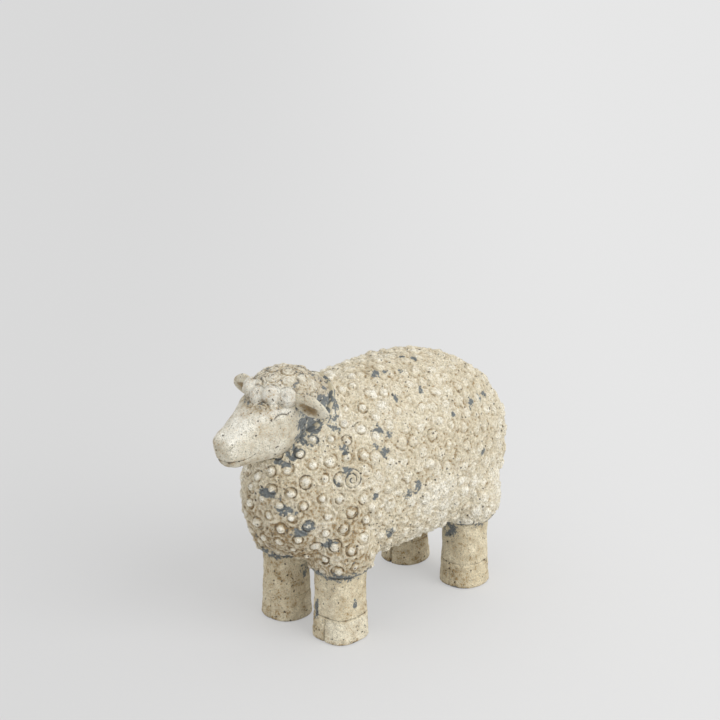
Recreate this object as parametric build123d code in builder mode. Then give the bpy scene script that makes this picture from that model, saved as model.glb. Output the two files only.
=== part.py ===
from build123d import *
from math import cos, pi, radians, sin
import os

os.makedirs("parts", exist_ok=True)

# A standing garden sheep cast in fibre clay. Lengths are in millimetres and angles in degrees.
# The sheep faces -Y, its own left side is +X, and its four feet stand on Z = 0.

# Stance: the four leg axes, and how far their centre lies behind the middle of the whole length.
LEG_BASE = 256.0
FRONT_TRACK = 106.0
REAR_TRACK = 117.0
STANCE_SET_BACK = 37.0

# Fleece body: a hollow barrel cast in two halves that meet on the middle plane.
BODY_LENGTH = 455.0
CHEST_SET_FORWARD = 231.0
BODY_WIDTH = 219.0
BACK_HEIGHT = 360.0
BELLY_HEIGHT = 97.0
WALL = 10.0
MIDDLE_LINE_SHARE = 0.46
BACK_SQUARE_SHARE = 0.72
BELLY_SQUARE_SHARE = 0.775
# Sections from the chest to the rump: place along the length, then width, rise of the back
# above the middle line and drop of the belly below it.
BARREL_SHARES = (
    (0.000, 0.12, 0.12, 0.12),
    (0.015, 0.33, 0.31, 0.36),
    (0.065, 0.58, 0.56, 0.63),
    (0.150, 0.79, 0.79, 0.83),
    (0.270, 0.93, 0.93, 0.95),
    (0.430, 0.99, 0.98, 1.00),
    (0.620, 1.00, 1.015, 1.00),
    (0.770, 0.94, 0.905, 0.96),
    (0.885, 0.775, 0.685, 0.87),
    (0.952, 0.59, 0.47, 0.69),
    (0.988, 0.385, 0.295, 0.43),
    (1.000, 0.16, 0.13, 0.17),
)

# Fleece sleeves that hang round the tops of the legs.
SLEEVE_EDGE_HEIGHT = 104.0
SLEEVE_EDGE_RADIUS = 41.0
SLEEVE_BULGE_RADIUS = 50.0
SLEEVE_BULGE_HEIGHT = 142.0
SLEEVE_TOP_HEIGHT = 205.0

# Fleece curls: each a bead inside a ring, set in staggered rows round the body. Near the chest
# and the rump the rows fan out from a point one turn in from the end.
CURL_PITCH = 32.0
CURL_TURN = 116.0
CURL_RADIUS = 12.0
CURL_ROOT = 5.0
BEAD_RADIUS = 6.5
BEAD_HEIGHT = 4.2
RING_HEIGHT = 2.6
RIM_HEIGHT = 1.0
CURL_UNDER_SHARE = 0.75

# Legs: rounded square columns with a turned tenon set in mortar in the sleeve.
LEG_WIDTH = 66.0
LEG_CORNER = 27.0
LEG_WAIST_SHARE = 0.96
LEG_WAIST_HEIGHT_SHARE = 0.62
LEG_TOP_SHARE = 1.0
FOOT_ROUND = 3.0
TENON_RADIUS = 24.0
TENON_HEIGHT = 34.0
MORTAR_BED = 3.0
SOCKET_RADIUS = 30.0
SOCKET_HEIGHT = 52.0

# Hooves: a ring line round the foot and a cleft up its front.
HOOF_HEIGHT = 38.0
HOOF_LINE_DEPTH = 1.6
HOOF_LINE_WIDTH = 2.4
CLEFT_WIDTH = 4.0
CLEFT_DEPTH = 7.0

# Steel rods: one up each leg, and one that carries the head.
LEG_ROD_RADIUS = 4.0
LEG_ROD_FOOT_COVER = 14.0
LEG_ROD_END = 14.0
NECK_ROD_RADIUS = 6.0
NECK_ROD_IN_HEAD = 44.0
NECK_ROD_END = 26.0

# Neck: a boss on the body, a bed of mortar, then the back of the head, on one tilted axis.
NECK_TILT = 45.0
NECK_SET_FORWARD = 148.0
NECK_HEIGHT = 335.0
NECK_RADIUS = 50.0
NECK_ROOT_RADIUS = 64.0
NECK_BOSS_LENGTH = 56.0
NECK_BED = 5.0
NECK_BED_RADIUS = 52.0
NECK_STUMP_RADIUS = 47.0
NECK_STUMP_TIP_RADIUS = 30.0
NECK_STUMP_LENGTH = 44.0

# Head: sections from the back of the skull to the nose, then width, rise and drop.
HEAD_PITCH = 9.0
HEAD_LENGTH = 134.0
HEAD_WIDTH = 84.0
HEAD_DEPTH = 84.0
POLL_SET_FORWARD = 172.0
POLL_HEIGHT = 340.0
HEAD_SQUARE_SHARE = 0.75
HEAD_SHARES = (
    (0.00, 0.94, 0.46, 0.44),
    (0.20, 1.00, 0.47, 0.55),
    (0.38, 0.98, 0.46, 0.60),
    (0.58, 0.78, 0.34, 0.55),
    (0.77, 0.575, 0.225, 0.49),
    (0.90, 0.48, 0.155, 0.42),
    (0.975, 0.34, 0.075, 0.30),
    (1.00, 0.18, 0.01, 0.16),
)

# Face: closed eyelids, nostrils and the line of the mouth.
EYE_SET_FORWARD = 224.0
EYE_HEIGHT = 351.0
EYE_SET_OUT = 24.5
EYE_RADIUS = 14.0
LID_LINE_RADIUS = 14.4
LID_LINE_WIDTH = 1.2
LID_LINE_DROP = 2.0
NOSTRIL_SET_OUT = 14.0
NOSTRIL_SET_FORWARD = 309.0
NOSTRIL_HEIGHT = 322.0
NOSTRIL_RADIUS = 3.2
MOUTH_HEIGHT = 301.0
MOUTH_GAP = 1.6
MOUTH_DEPTH = 2.0
MOUTH_LENGTH = 62.0

# Woolly cap over the top of the head.
CAP_LENGTH = 106.0
CAP_WIDTH = 92.0
CAP_DEPTH = 62.0
CAP_SET_FORWARD = 235.0
CAP_HEIGHT = 367.5
KNOB_RADIUS = 13.0
KNOB_STAND = 4.0
# Rows of knobs over the cap: tilt above the level, angle between knobs and knobs to each side.
KNOB_ROWS = ((8, 28, 2), (44, 46, 1), (78, 110, 1))
CAP_SHARES = (
    (0.00, 0.22, 0.11, 0.11),
    (0.06, 0.53, 0.27, 0.27),
    (0.20, 0.81, 0.41, 0.41),
    (0.42, 0.98, 0.49, 0.49),
    (0.60, 0.99, 0.50, 0.50),
    (0.80, 0.82, 0.41, 0.41),
    (0.94, 0.54, 0.27, 0.27),
    (1.00, 0.22, 0.11, 0.11),
)

# Ears: leaf shaped and hollowed in front, each in a pocket of the head on a wire.
EAR_LENGTH = 55.0
EAR_WIDTH = 29.0
EAR_THICKNESS = 14.0
EAR_DROOP = 13.0
EAR_SWEEP = 12.0
EAR_ROLL = 12.0
EAR_ROOT_SET_OUT = 38.0
EAR_ROOT_SET_FORWARD = 199.0
EAR_ROOT_HEIGHT = 368.0
EAR_SHARES = (
    (0.00, 0.60, 0.25, 0.25),
    (0.18, 0.80, 0.36, 0.36),
    (0.42, 1.00, 0.50, 0.50),
    (0.68, 0.82, 0.43, 0.43),
    (0.88, 0.50, 0.25, 0.25),
    (1.00, 0.22, 0.08, 0.08),
)
EAR_HOLLOW_SHARE = 0.66
EAR_HOLLOW_DROP_SHARE = 0.10
EAR_HOLLOW_SHIFT_SHARE = 0.46
EAR_HOLLOW_START_SHARE = 0.16
EAR_WIRE_RADIUS = 1.2
EAR_WIRE_IN_HEAD = 16.0
EAR_WIRE_IN_EAR = 14.0

# Tail: a short drop shaped tab that lies against the rump, on its own wire.
TAIL_LENGTH = 96.0
TAIL_WIDTH = 38.0
TAIL_THICKNESS = 46.0
TAIL_ROOT_HEIGHT = 292.0
TAIL_SET_IN = 17.0
TAIL_SHARES = (
    (0.00, 0.24, 0.12, 0.12),
    (0.10, 0.62, 0.31, 0.31),
    (0.32, 0.90, 0.45, 0.45),
    (0.62, 1.00, 0.50, 0.50),
    (0.88, 0.68, 0.34, 0.34),
    (1.00, 0.24, 0.12, 0.12),
)
TAIL_WIRE_RADIUS = 1.6
TAIL_WIRE_DROP = 34.0
TAIL_WIRE_IN_TAIL = 2.0
TAIL_WIRE_IN_BODY = 34.0

# Band of mortar and mesh inside the body that ties its two halves together.
SEAM_BAND_WIDTH = 44.0
SEAM_BAND_THICKNESS = 5.0

# Clearance of the set joints, and the overrun of every cut.
FIT = 0.3
OVERRUN = 20.0

# Places worked out from the sizes above.
CHEST_Y = STANCE_SET_BACK - CHEST_SET_FORWARD
RUMP_Y = CHEST_Y + BODY_LENGTH
MIDDLE_HEIGHT = BELLY_HEIGHT + MIDDLE_LINE_SHARE * (BACK_HEIGHT - BELLY_HEIGHT)
BACK_RISE = BACK_HEIGHT - MIDDLE_HEIGHT
BELLY_DROP = MIDDLE_HEIGHT - BELLY_HEIGHT
LEG_HEIGHT = SLEEVE_EDGE_HEIGHT - MORTAR_BED
MORTAR_RADIUS = LEG_WIDTH / 2
FRONT_Y = STANCE_SET_BACK - LEG_BASE / 2
REAR_Y = STANCE_SET_BACK + LEG_BASE / 2
LEG_PLACES = {
    "front_left": (FRONT_TRACK / 2, FRONT_Y),
    "front_right": (-FRONT_TRACK / 2, FRONT_Y),
    "rear_left": (REAR_TRACK / 2, REAR_Y),
    "rear_right": (-REAR_TRACK / 2, REAR_Y),
}

EYE_Y = STANCE_SET_BACK - EYE_SET_FORWARD
EYE_PLACES = ((EYE_SET_OUT, EYE_Y, EYE_HEIGHT), (-EYE_SET_OUT, EYE_Y, EYE_HEIGHT))
LID_HEIGHT = EYE_HEIGHT - LID_LINE_DROP
LID_PLACES = ((EYE_SET_OUT, EYE_Y, LID_HEIGHT), (-EYE_SET_OUT, EYE_Y, LID_HEIGHT))
NOSTRIL_Y = STANCE_SET_BACK - NOSTRIL_SET_FORWARD
NOSTRIL_PLACES = ((NOSTRIL_SET_OUT, NOSTRIL_Y, NOSTRIL_HEIGHT), (-NOSTRIL_SET_OUT, NOSTRIL_Y, NOSTRIL_HEIGHT))
CAP_MIDDLE_Y = STANCE_SET_BACK - CAP_SET_FORWARD + CAP_LENGTH / 2
MOUTH_Y = STANCE_SET_BACK - POLL_SET_FORWARD - HEAD_LENGTH + MOUTH_LENGTH / 2
LEG_SECTIONS = (
    (0, 1),
    (HOOF_HEIGHT, 1),
    (LEG_HEIGHT * LEG_WAIST_HEIGHT_SHARE, LEG_WAIST_SHARE),
    (LEG_HEIGHT, LEG_TOP_SHARE),
)


def tilted_plane(x, y, z, pitch):
    """A plane across the sheep that looks forward, pitched up by an angle."""
    out = (0, -cos(radians(pitch)), sin(radians(pitch)))
    return Plane(origin=(x, y, z), x_dir=(1, 0, 0), z_dir=out)


def round_section(plane, half_width, rise, drop, up_share, down_share):
    """A closed smooth outline, fuller than an ellipse at its four shoulders."""
    points = (
        (0, rise),
        (up_share * half_width, up_share * rise),
        (half_width, 0),
        (down_share * half_width, -down_share * drop),
        (0, -drop),
        (-down_share * half_width, -down_share * drop),
        (-half_width, 0),
        (-up_share * half_width, up_share * rise),
    )
    with BuildSketch(plane) as section:
        with BuildLine():
            Spline(*points, periodic=True)
        make_face()
    return section.sketch


def sections_along(plane, shares, length, width, depth, square_share):
    """Round sections set out along the normal of a plane from a table of shares."""
    sections = []
    for along, wide, up, down in shares:
        place = plane.offset(along * length)
        half_width = wide * width / 2
        sections.append(round_section(place, half_width, up * depth, down * depth, square_share, square_share))
    return sections


def barrel_sections(inset):
    """Sections of the body from the rump to the chest, drawn in by an inset."""
    sections = []
    for along, wide, up, down in BARREL_SHARES:
        plane = tilted_plane(0, CHEST_Y + inset + along * (BODY_LENGTH - 2 * inset), MIDDLE_HEIGHT, 0)
        half_width = wide * (BODY_WIDTH / 2 - inset)
        rise = up * (BACK_RISE - inset)
        drop = down * (BELLY_DROP - inset)
        sections.append(round_section(plane, half_width, rise, drop, BACK_SQUARE_SHARE, BELLY_SQUARE_SHARE))
    return sections


def outer_plane(form, start, out):
    """A plane on the outermost skin of a form where a ray leaves it."""
    hits = [hit for hit in form.find_intersection_points(Axis(start, out)) if (hit[0] - start).dot(out) > 0]
    point, normal = max(hits, key=lambda hit: (hit[0] - start).length)
    return Plane(origin=point, z_dir=normal if normal.dot(out) > 0 else -normal)


def curl_rows():
    """Rows of curls from the chest to the rump: start on the middle line, way and tilt of the rays."""
    fans = round(pi / 2 * CURL_TURN / CURL_PITCH)
    runs = round((BODY_LENGTH - 2 * CURL_TURN) / CURL_PITCH)
    front = CHEST_Y + CURL_TURN
    rear = RUMP_Y - CURL_TURN
    rows = [(front, -1, pi / 2 * step / fans) for step in range(fans)]
    rows += [(front + (rear - front) * step / runs, 0, pi / 2) for step in range(runs + 1)]
    rows += [(rear, 1, pi / 2 * step / fans) for step in reversed(range(fans))]
    return rows


def curl_planes(form, neighbours):
    """Places of the curls on the left half, clear of each other and of the pieces beside them."""
    planes = []
    for number, (y, way, tilt) in enumerate(curl_rows()):
        start = Vector(0, y, MIDDLE_HEIGHT)
        count = max(1, round(2 * pi * CURL_TURN * sin(tilt) / CURL_PITCH))
        turns = [2 * pi * (step + number % 2 / 2) / count for step in range(count)]
        for turn in [turn for turn in turns if turn <= pi]:
            out = Vector(sin(tilt) * sin(turn), way * cos(tilt), sin(tilt) * cos(turn))
            place = outer_plane(form, start, out)
            spot = place.origin
            low = spot.Z < SLEEVE_EDGE_HEIGHT + CURL_RADIUS + CURL_ROOT
            under = place.z_dir.Z < -CURL_UNDER_SHARE
            halved = FIT < spot.X < CURL_RADIUS
            crowded = any((spot - other.origin).length < 2 * CURL_RADIUS + FIT for other in planes)
            close = any(piece.distance_to(Vertex(*spot)) < CURL_RADIUS + FIT for piece in neighbours)
            if not (low or under or halved or crowded or close):
                planes.append(place)
    return planes


def mirrored_planes(planes):
    """The same places on the other side of the middle plane."""
    places = [(plane.origin, plane.z_dir) for plane in planes]
    return [Plane(origin=(-at.X, at.Y, at.Z), z_dir=(-out.X, out.Y, out.Z)) for at, out in places]


def knob_planes(form, start):
    """Places of the knobs on the cap, sunk so that each stands out by one height."""
    planes = []
    for tilt, turn, sides in KNOB_ROWS:
        for step in range(-sides, sides + 1):
            across = cos(radians(tilt)) * sin(radians(step * turn))
            ahead = cos(radians(tilt)) * cos(radians(step * turn))
            place = outer_plane(form, start, Vector(across, -ahead, sin(radians(tilt))))
            planes.append(place.offset(KNOB_STAND - KNOB_RADIUS))
    return planes


NECK_JOINT = tilted_plane(0, STANCE_SET_BACK - NECK_SET_FORWARD, NECK_HEIGHT, NECK_TILT)
HEAD_PLANE = tilted_plane(0, STANCE_SET_BACK - POLL_SET_FORWARD, POLL_HEIGHT, -HEAD_PITCH)
CAP_FRONT = Plane(
    origin=(0, STANCE_SET_BACK - CAP_SET_FORWARD, CAP_HEIGHT), x_dir=(-1, 0, 0), z_dir=(0, 1, 0)
)
EAR_AHEAD = Vector(sin(radians(EAR_SWEEP)), -cos(radians(EAR_SWEEP)), 0)
EAR_OUT = Vector(cos(radians(EAR_SWEEP)), sin(radians(EAR_SWEEP)), 0) * cos(radians(EAR_DROOP))
EAR_OUT -= Vector(0, 0, sin(radians(EAR_DROOP)))
EAR_DOWN = EAR_OUT.cross(EAR_AHEAD)
EAR_PLANE = Plane(
    origin=(EAR_ROOT_SET_OUT, STANCE_SET_BACK - EAR_ROOT_SET_FORWARD, EAR_ROOT_HEIGHT),
    x_dir=EAR_AHEAD * cos(radians(EAR_ROLL)) + EAR_DOWN * sin(radians(EAR_ROLL)),
    z_dir=EAR_OUT,
)
EAR_HOLLOW_PLANE = EAR_PLANE.offset(EAR_LENGTH * EAR_HOLLOW_START_SHARE)
EAR_HOLLOW_PLANE = EAR_HOLLOW_PLANE.shift_origin(
    EAR_HOLLOW_PLANE.from_local_coords(
        (EAR_THICKNESS * EAR_HOLLOW_SHIFT_SHARE, EAR_WIDTH * EAR_HOLLOW_DROP_SHARE, 0)
    )
)
TAIL_PLANE = Plane(origin=(0, RUMP_Y - TAIL_SET_IN, TAIL_ROOT_HEIGHT), x_dir=(1, 0, 0), z_dir=(0, 0, -1))
TAIL_WIRE_PLANE = tilted_plane(0, RUMP_Y, TAIL_ROOT_HEIGHT - TAIL_WIRE_DROP, 0)

# Full barrel, grown by one clearance and opened at the neck, that trims the pieces lying
# against the fleece.
with BuildPart() as barrel_cover:
    loft(sections=barrel_sections(-FIT))
    with BuildSketch(NECK_JOINT):
        Circle(NECK_BED_RADIUS)
    extrude(amount=NECK_RADIUS, mode=Mode.SUBTRACT)

# Plug behind the neck joint, and the room it needs inside the band.
with BuildPart() as neck_boss:
    with BuildSketch(NECK_JOINT):
        Circle(NECK_RADIUS)
    with BuildSketch(NECK_JOINT.offset(-NECK_BOSS_LENGTH)):
        Circle(NECK_ROOT_RADIUS)
    loft()

with BuildPart() as neck_room:
    with BuildSketch(NECK_JOINT.offset(OVERRUN)):
        Circle(NECK_BED_RADIUS + FIT)
    with BuildSketch(NECK_JOINT.offset(-NECK_BOSS_LENGTH - FIT)):
        Circle(NECK_ROOT_RADIUS + NECK_BED_RADIUS - NECK_RADIUS)
    loft()

# Neck: the bed of mortar that shows as a grey line, and the rod through it.
with BuildPart() as neck_mortar:
    with BuildSketch(NECK_JOINT):
        Circle(NECK_BED_RADIUS)
        Circle(NECK_ROD_RADIUS + FIT, mode=Mode.SUBTRACT)
    extrude(amount=NECK_BED)
    fillet(neck_mortar.edges().filter_by(GeomType.CIRCLE).group_by(SortBy.LENGTH)[-1], NECK_BED / 3)

with BuildPart() as neck_rod:
    with BuildSketch(NECK_JOINT.offset(-(NECK_BOSS_LENGTH + NECK_ROD_END))):
        Circle(NECK_ROD_RADIUS)
    extrude(amount=NECK_BOSS_LENGTH + NECK_ROD_END + NECK_BED + NECK_ROD_IN_HEAD)

# Head: face, stump and cap, cut flat on the mortar bed and trimmed along the chest.
with BuildPart() as face_core:
    loft(
        sections=sections_along(
            HEAD_PLANE,
            HEAD_SHARES,
            HEAD_LENGTH - MOUTH_DEPTH,
            HEAD_WIDTH - 2 * MOUTH_DEPTH,
            HEAD_DEPTH - 2 * MOUTH_DEPTH,
            HEAD_SQUARE_SHARE,
        )
    )

with BuildPart() as mouth_line:
    with BuildSketch(Plane.XY.offset(MOUTH_HEIGHT - MOUTH_GAP / 2)):
        with Locations((0, MOUTH_Y)):
            Rectangle(HEAD_WIDTH, MOUTH_LENGTH)
    extrude(amount=MOUTH_GAP)
    add(face_core.part, mode=Mode.SUBTRACT)

with BuildPart() as ear_pocket:
    loft(
        sections=sections_along(
            EAR_PLANE, EAR_SHARES, EAR_LENGTH, EAR_THICKNESS + 2 * FIT, EAR_WIDTH + 2 * FIT, HEAD_SQUARE_SHARE
        )
    )
    with BuildSketch(EAR_PLANE):
        Circle(EAR_WIRE_RADIUS + FIT)
    extrude(amount=-EAR_WIRE_IN_HEAD)
    mirror(about=Plane.YZ)

with BuildPart() as cap_form:
    loft(sections=sections_along(CAP_FRONT, CAP_SHARES, CAP_LENGTH, CAP_WIDTH, CAP_DEPTH, HEAD_SQUARE_SHARE))

with BuildPart() as cap:
    add(cap_form.part)
    with Locations(*knob_planes(cap_form.part, Vector(0, CAP_MIDDLE_Y, CAP_HEIGHT))):
        Sphere(KNOB_RADIUS)

with BuildPart() as head:
    loft(sections=sections_along(HEAD_PLANE, HEAD_SHARES, HEAD_LENGTH, HEAD_WIDTH, HEAD_DEPTH, HEAD_SQUARE_SHARE))
    with BuildSketch(NECK_JOINT.offset(NECK_BED)):
        Circle(NECK_STUMP_RADIUS)
    with BuildSketch(NECK_JOINT.offset(NECK_BED + NECK_STUMP_LENGTH)):
        Circle(NECK_STUMP_TIP_RADIUS)
    loft()
    with Locations(*EYE_PLACES):
        Sphere(EYE_RADIUS)
    with Locations(*LID_PLACES):
        Torus(LID_LINE_RADIUS, LID_LINE_WIDTH, mode=Mode.SUBTRACT)
    add(cap.part)
    with Locations(*NOSTRIL_PLACES):
        Sphere(NOSTRIL_RADIUS, mode=Mode.SUBTRACT)
    add(mouth_line.part, mode=Mode.SUBTRACT)
    split(bisect_by=NECK_JOINT.offset(NECK_BED), keep=Keep.TOP)
    add(barrel_cover.part, mode=Mode.SUBTRACT)
    with BuildSketch(NECK_JOINT):
        Circle(NECK_ROD_RADIUS + FIT)
    extrude(amount=NECK_BED + NECK_ROD_IN_HEAD, mode=Mode.SUBTRACT)
    add(ear_pocket.part, mode=Mode.SUBTRACT)

# Ears: a leaf with its front hollowed out, and the wire it hangs on.
with BuildPart() as ear_left:
    loft(sections=sections_along(EAR_PLANE, EAR_SHARES, EAR_LENGTH, EAR_THICKNESS, EAR_WIDTH, HEAD_SQUARE_SHARE))
    loft(
        sections=sections_along(
            EAR_HOLLOW_PLANE,
            EAR_SHARES,
            EAR_LENGTH * EAR_HOLLOW_SHARE,
            EAR_THICKNESS * EAR_HOLLOW_SHARE,
            EAR_WIDTH * EAR_HOLLOW_SHARE,
            HEAD_SQUARE_SHARE,
        ),
        mode=Mode.SUBTRACT,
    )
    with BuildSketch(EAR_PLANE):
        Circle(EAR_WIRE_RADIUS + FIT)
    extrude(amount=EAR_WIRE_IN_EAR, mode=Mode.SUBTRACT)

with BuildPart() as ear_wire_left:
    with BuildSketch(EAR_PLANE.offset(-EAR_WIRE_IN_HEAD)):
        Circle(EAR_WIRE_RADIUS)
    extrude(amount=EAR_WIRE_IN_HEAD + EAR_WIRE_IN_EAR)

with BuildPart() as ear_right:
    add(mirror(ear_left.part, about=Plane.YZ, mode=Mode.PRIVATE))

with BuildPart() as ear_wire_right:
    add(mirror(ear_wire_left.part, about=Plane.YZ, mode=Mode.PRIVATE))

# Tail: a tab whose inner face follows the rump, and its wire.
with BuildPart() as tail:
    loft(sections=sections_along(TAIL_PLANE, TAIL_SHARES, TAIL_LENGTH, TAIL_WIDTH, TAIL_THICKNESS, HEAD_SQUARE_SHARE))
    add(barrel_cover.part, mode=Mode.SUBTRACT)
    with BuildSketch(TAIL_WIRE_PLANE.offset(-TAIL_WIRE_IN_TAIL)):
        Circle(TAIL_WIRE_RADIUS + FIT)
    extrude(amount=TAIL_WIRE_IN_TAIL + TAIL_WIRE_IN_BODY, mode=Mode.SUBTRACT)

with BuildPart() as tail_wire:
    with BuildSketch(TAIL_WIRE_PLANE.offset(-TAIL_WIRE_IN_TAIL)):
        Circle(TAIL_WIRE_RADIUS)
    extrude(amount=TAIL_WIRE_IN_TAIL + TAIL_WIRE_IN_BODY)

# Outer form of the fleece: the barrel and the leg sleeves.
with BuildPart() as fleece_form:
    loft(sections=barrel_sections(0))
    for place in LEG_PLACES.values():
        with BuildSketch(tilted_plane(place[0], place[1], 0, 0)):
            with BuildLine():
                sleeve_side = Spline(
                    (SLEEVE_EDGE_RADIUS, SLEEVE_EDGE_HEIGHT),
                    (SLEEVE_BULGE_RADIUS, SLEEVE_BULGE_HEIGHT),
                    (0, SLEEVE_TOP_HEIGHT),
                    tangents=((1, 1), (-1, 0)),
                )
                Polyline(sleeve_side @ 1, (0, SLEEVE_EDGE_HEIGHT), sleeve_side @ 0)
            make_face()
        revolve(axis=Axis((place[0], place[1], 0), (0, 0, 1)))

# Whole fleece body before it is split: the cavity with the plug of the neck in it, the leg
# sockets and the bores for the rod of the neck and the tail wire.
with BuildPart() as body:
    add(fleece_form.part)
    loft(sections=barrel_sections(WALL), mode=Mode.SUBTRACT)
    add(neck_boss.part)
    with BuildSketch(NECK_JOINT):
        Circle(NECK_BED_RADIUS + FIT)
    extrude(amount=NECK_RADIUS, mode=Mode.SUBTRACT)
    with BuildSketch(Plane.XY.offset(SLEEVE_EDGE_HEIGHT)):
        with Locations(*LEG_PLACES.values()):
            Circle(SOCKET_RADIUS)
    extrude(amount=SOCKET_HEIGHT, mode=Mode.SUBTRACT)
    with BuildSketch(Plane.XY.offset(SLEEVE_EDGE_HEIGHT)):
        with Locations(*LEG_PLACES.values()):
            Circle(SLEEVE_EDGE_RADIUS)
    extrude(amount=-OVERRUN, mode=Mode.SUBTRACT)
    with BuildSketch(NECK_JOINT.offset(OVERRUN)):
        Circle(NECK_ROD_RADIUS + FIT)
    extrude(amount=-(OVERRUN + NECK_BOSS_LENGTH + OVERRUN), mode=Mode.SUBTRACT)
    with BuildSketch(TAIL_WIRE_PLANE.offset(-OVERRUN)):
        Circle(TAIL_WIRE_RADIUS + FIT)
    extrude(amount=OVERRUN + TAIL_WIRE_IN_BODY, mode=Mode.SUBTRACT)

# One curl about its own axis: the bead, the ring round it and the root sunk in the skin.
with BuildPart() as curl:
    with BuildSketch(Plane.XZ):
        with BuildLine():
            bead = TangentArc((0, BEAD_HEIGHT), (BEAD_RADIUS, RIM_HEIGHT), tangent=(1, 0))
            Polyline(
                bead @ 1,
                ((BEAD_RADIUS + CURL_RADIUS) / 2, RING_HEIGHT),
                (CURL_RADIUS, RIM_HEIGHT),
                (CURL_RADIUS, -CURL_ROOT),
                (0, -CURL_ROOT),
                bead @ 0,
            )
        make_face()
    revolve(axis=Axis.Z)

# Halves of the body, each with the same curls on its own side.
LEFT_CURLS = curl_planes(fleece_form.part, (head.part, neck_mortar.part, tail.part))

with BuildPart() as body_shell_left:
    add(body.part)
    split(bisect_by=Plane.YZ, keep=Keep.TOP)
    with Locations(*LEFT_CURLS):
        add(curl.part)
    split(bisect_by=Plane.YZ, keep=Keep.TOP)

with BuildPart() as body_shell_right:
    add(body.part)
    split(bisect_by=Plane.YZ, keep=Keep.BOTTOM)
    with Locations(*mirrored_planes(LEFT_CURLS)):
        add(curl.part)
    split(bisect_by=Plane.YZ, keep=Keep.BOTTOM)

# Band that lines the cavity along the middle plane, broken where the plug of the neck stands.
with BuildPart() as seam_band:
    loft(sections=barrel_sections(WALL + FIT))
    loft(sections=barrel_sections(WALL + SEAM_BAND_THICKNESS), mode=Mode.SUBTRACT)
    for across in (SEAM_BAND_WIDTH / 2, -SEAM_BAND_WIDTH / 2):
        split(bisect_by=Plane.YZ.offset(across), keep=Keep.BOTTOM if across > 0 else Keep.TOP)
    add(neck_room.part, mode=Mode.SUBTRACT)
    with BuildSketch(TAIL_WIRE_PLANE.offset(-OVERRUN)):
        Circle(TAIL_WIRE_RADIUS + FIT)
    extrude(amount=OVERRUN + TAIL_WIRE_IN_BODY, mode=Mode.SUBTRACT)

# One leg about its own axis: foot, waist and top, then the tenon, the hoof line, the cleft
# and the bore for the rod.
with BuildPart() as leg:
    for height, share in LEG_SECTIONS:
        with BuildSketch(Plane.XY.offset(height)):
            RectangleRounded(LEG_WIDTH * share, LEG_WIDTH * share, LEG_CORNER * share)
    loft()
    fillet(leg.faces().sort_by(Axis.Z)[0].edges(), FOOT_ROUND)
    with BuildSketch(Plane.XY.offset(LEG_HEIGHT)):
        Circle(TENON_RADIUS)
    extrude(amount=MORTAR_BED + TENON_HEIGHT)
    with BuildSketch(Plane.XY.offset(HOOF_HEIGHT - HOOF_LINE_WIDTH / 2)):
        Rectangle(LEG_WIDTH + OVERRUN, LEG_WIDTH + OVERRUN)
        RectangleRounded(
            LEG_WIDTH - 2 * HOOF_LINE_DEPTH,
            LEG_WIDTH - 2 * HOOF_LINE_DEPTH,
            LEG_CORNER - HOOF_LINE_DEPTH,
            mode=Mode.SUBTRACT,
        )
    extrude(amount=HOOF_LINE_WIDTH, mode=Mode.SUBTRACT)
    with BuildSketch(Plane.XY):
        with BuildLine():
            Polyline(
                (-CLEFT_WIDTH / 2, -LEG_WIDTH / 2),
                (0, CLEFT_DEPTH - LEG_WIDTH / 2),
                (CLEFT_WIDTH / 2, -LEG_WIDTH / 2),
                close=True,
            )
        make_face()
    extrude(amount=HOOF_HEIGHT, mode=Mode.SUBTRACT)
    with BuildSketch(Plane.XY.offset(LEG_ROD_FOOT_COVER)):
        Circle(LEG_ROD_RADIUS + FIT)
    extrude(amount=LEG_HEIGHT + MORTAR_BED + TENON_HEIGHT, mode=Mode.SUBTRACT)

# Mortar round one tenon: a thin bed under the sleeve and a bush up the socket.
with BuildPart() as leg_mortar:
    with BuildSketch(Plane.XY.offset(LEG_HEIGHT)):
        Circle(MORTAR_RADIUS)
        Circle(TENON_RADIUS + FIT, mode=Mode.SUBTRACT)
    extrude(amount=MORTAR_BED)
    with BuildSketch(Plane.XY.offset(SLEEVE_EDGE_HEIGHT)):
        Circle(SOCKET_RADIUS - FIT)
        Circle(TENON_RADIUS + FIT, mode=Mode.SUBTRACT)
    extrude(amount=TENON_HEIGHT)

with BuildPart() as leg_rod:
    with BuildSketch(Plane.XY.offset(LEG_ROD_FOOT_COVER)):
        Circle(LEG_ROD_RADIUS)
    extrude(amount=LEG_HEIGHT + MORTAR_BED + TENON_HEIGHT + LEG_ROD_END - LEG_ROD_FOOT_COVER)

pieces = {
    "body_shell_left": body_shell_left.part,
    "body_shell_right": body_shell_right.part,
    "seam_band": seam_band.part,
    "neck_mortar": neck_mortar.part,
    "neck_rod": neck_rod.part,
    "head": head.part,
    "ear_left": ear_left.part,
    "ear_right": ear_right.part,
    "ear_wire_left": ear_wire_left.part,
    "ear_wire_right": ear_wire_right.part,
    "tail": tail.part,
    "tail_wire": tail_wire.part,
}
for name, (x, y) in LEG_PLACES.items():
    pieces["leg_" + name] = Pos(x, y, 0) * leg.part
    pieces["leg_mortar_" + name] = Pos(x, y, 0) * leg_mortar.part
    pieces["leg_rod_" + name] = Pos(x, y, 0) * leg_rod.part

for name, piece in pieces.items():
    piece.label = name
    export_step(piece, "parts/" + name + ".step")
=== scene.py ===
"""Looks of a cast garden sheep: fleece curls, a worn cream wash, a pale studio and the camera.

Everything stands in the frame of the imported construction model, in metres. The sheep faces -Y,
its own left side is +X and its feet stand on Z = 0.
"""

import logging
import math
from dataclasses import dataclass, fields
from enum import Enum
from typing import Mapping, Sequence

import bmesh
import bpy
import numpy as np
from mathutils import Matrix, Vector, noise


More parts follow.
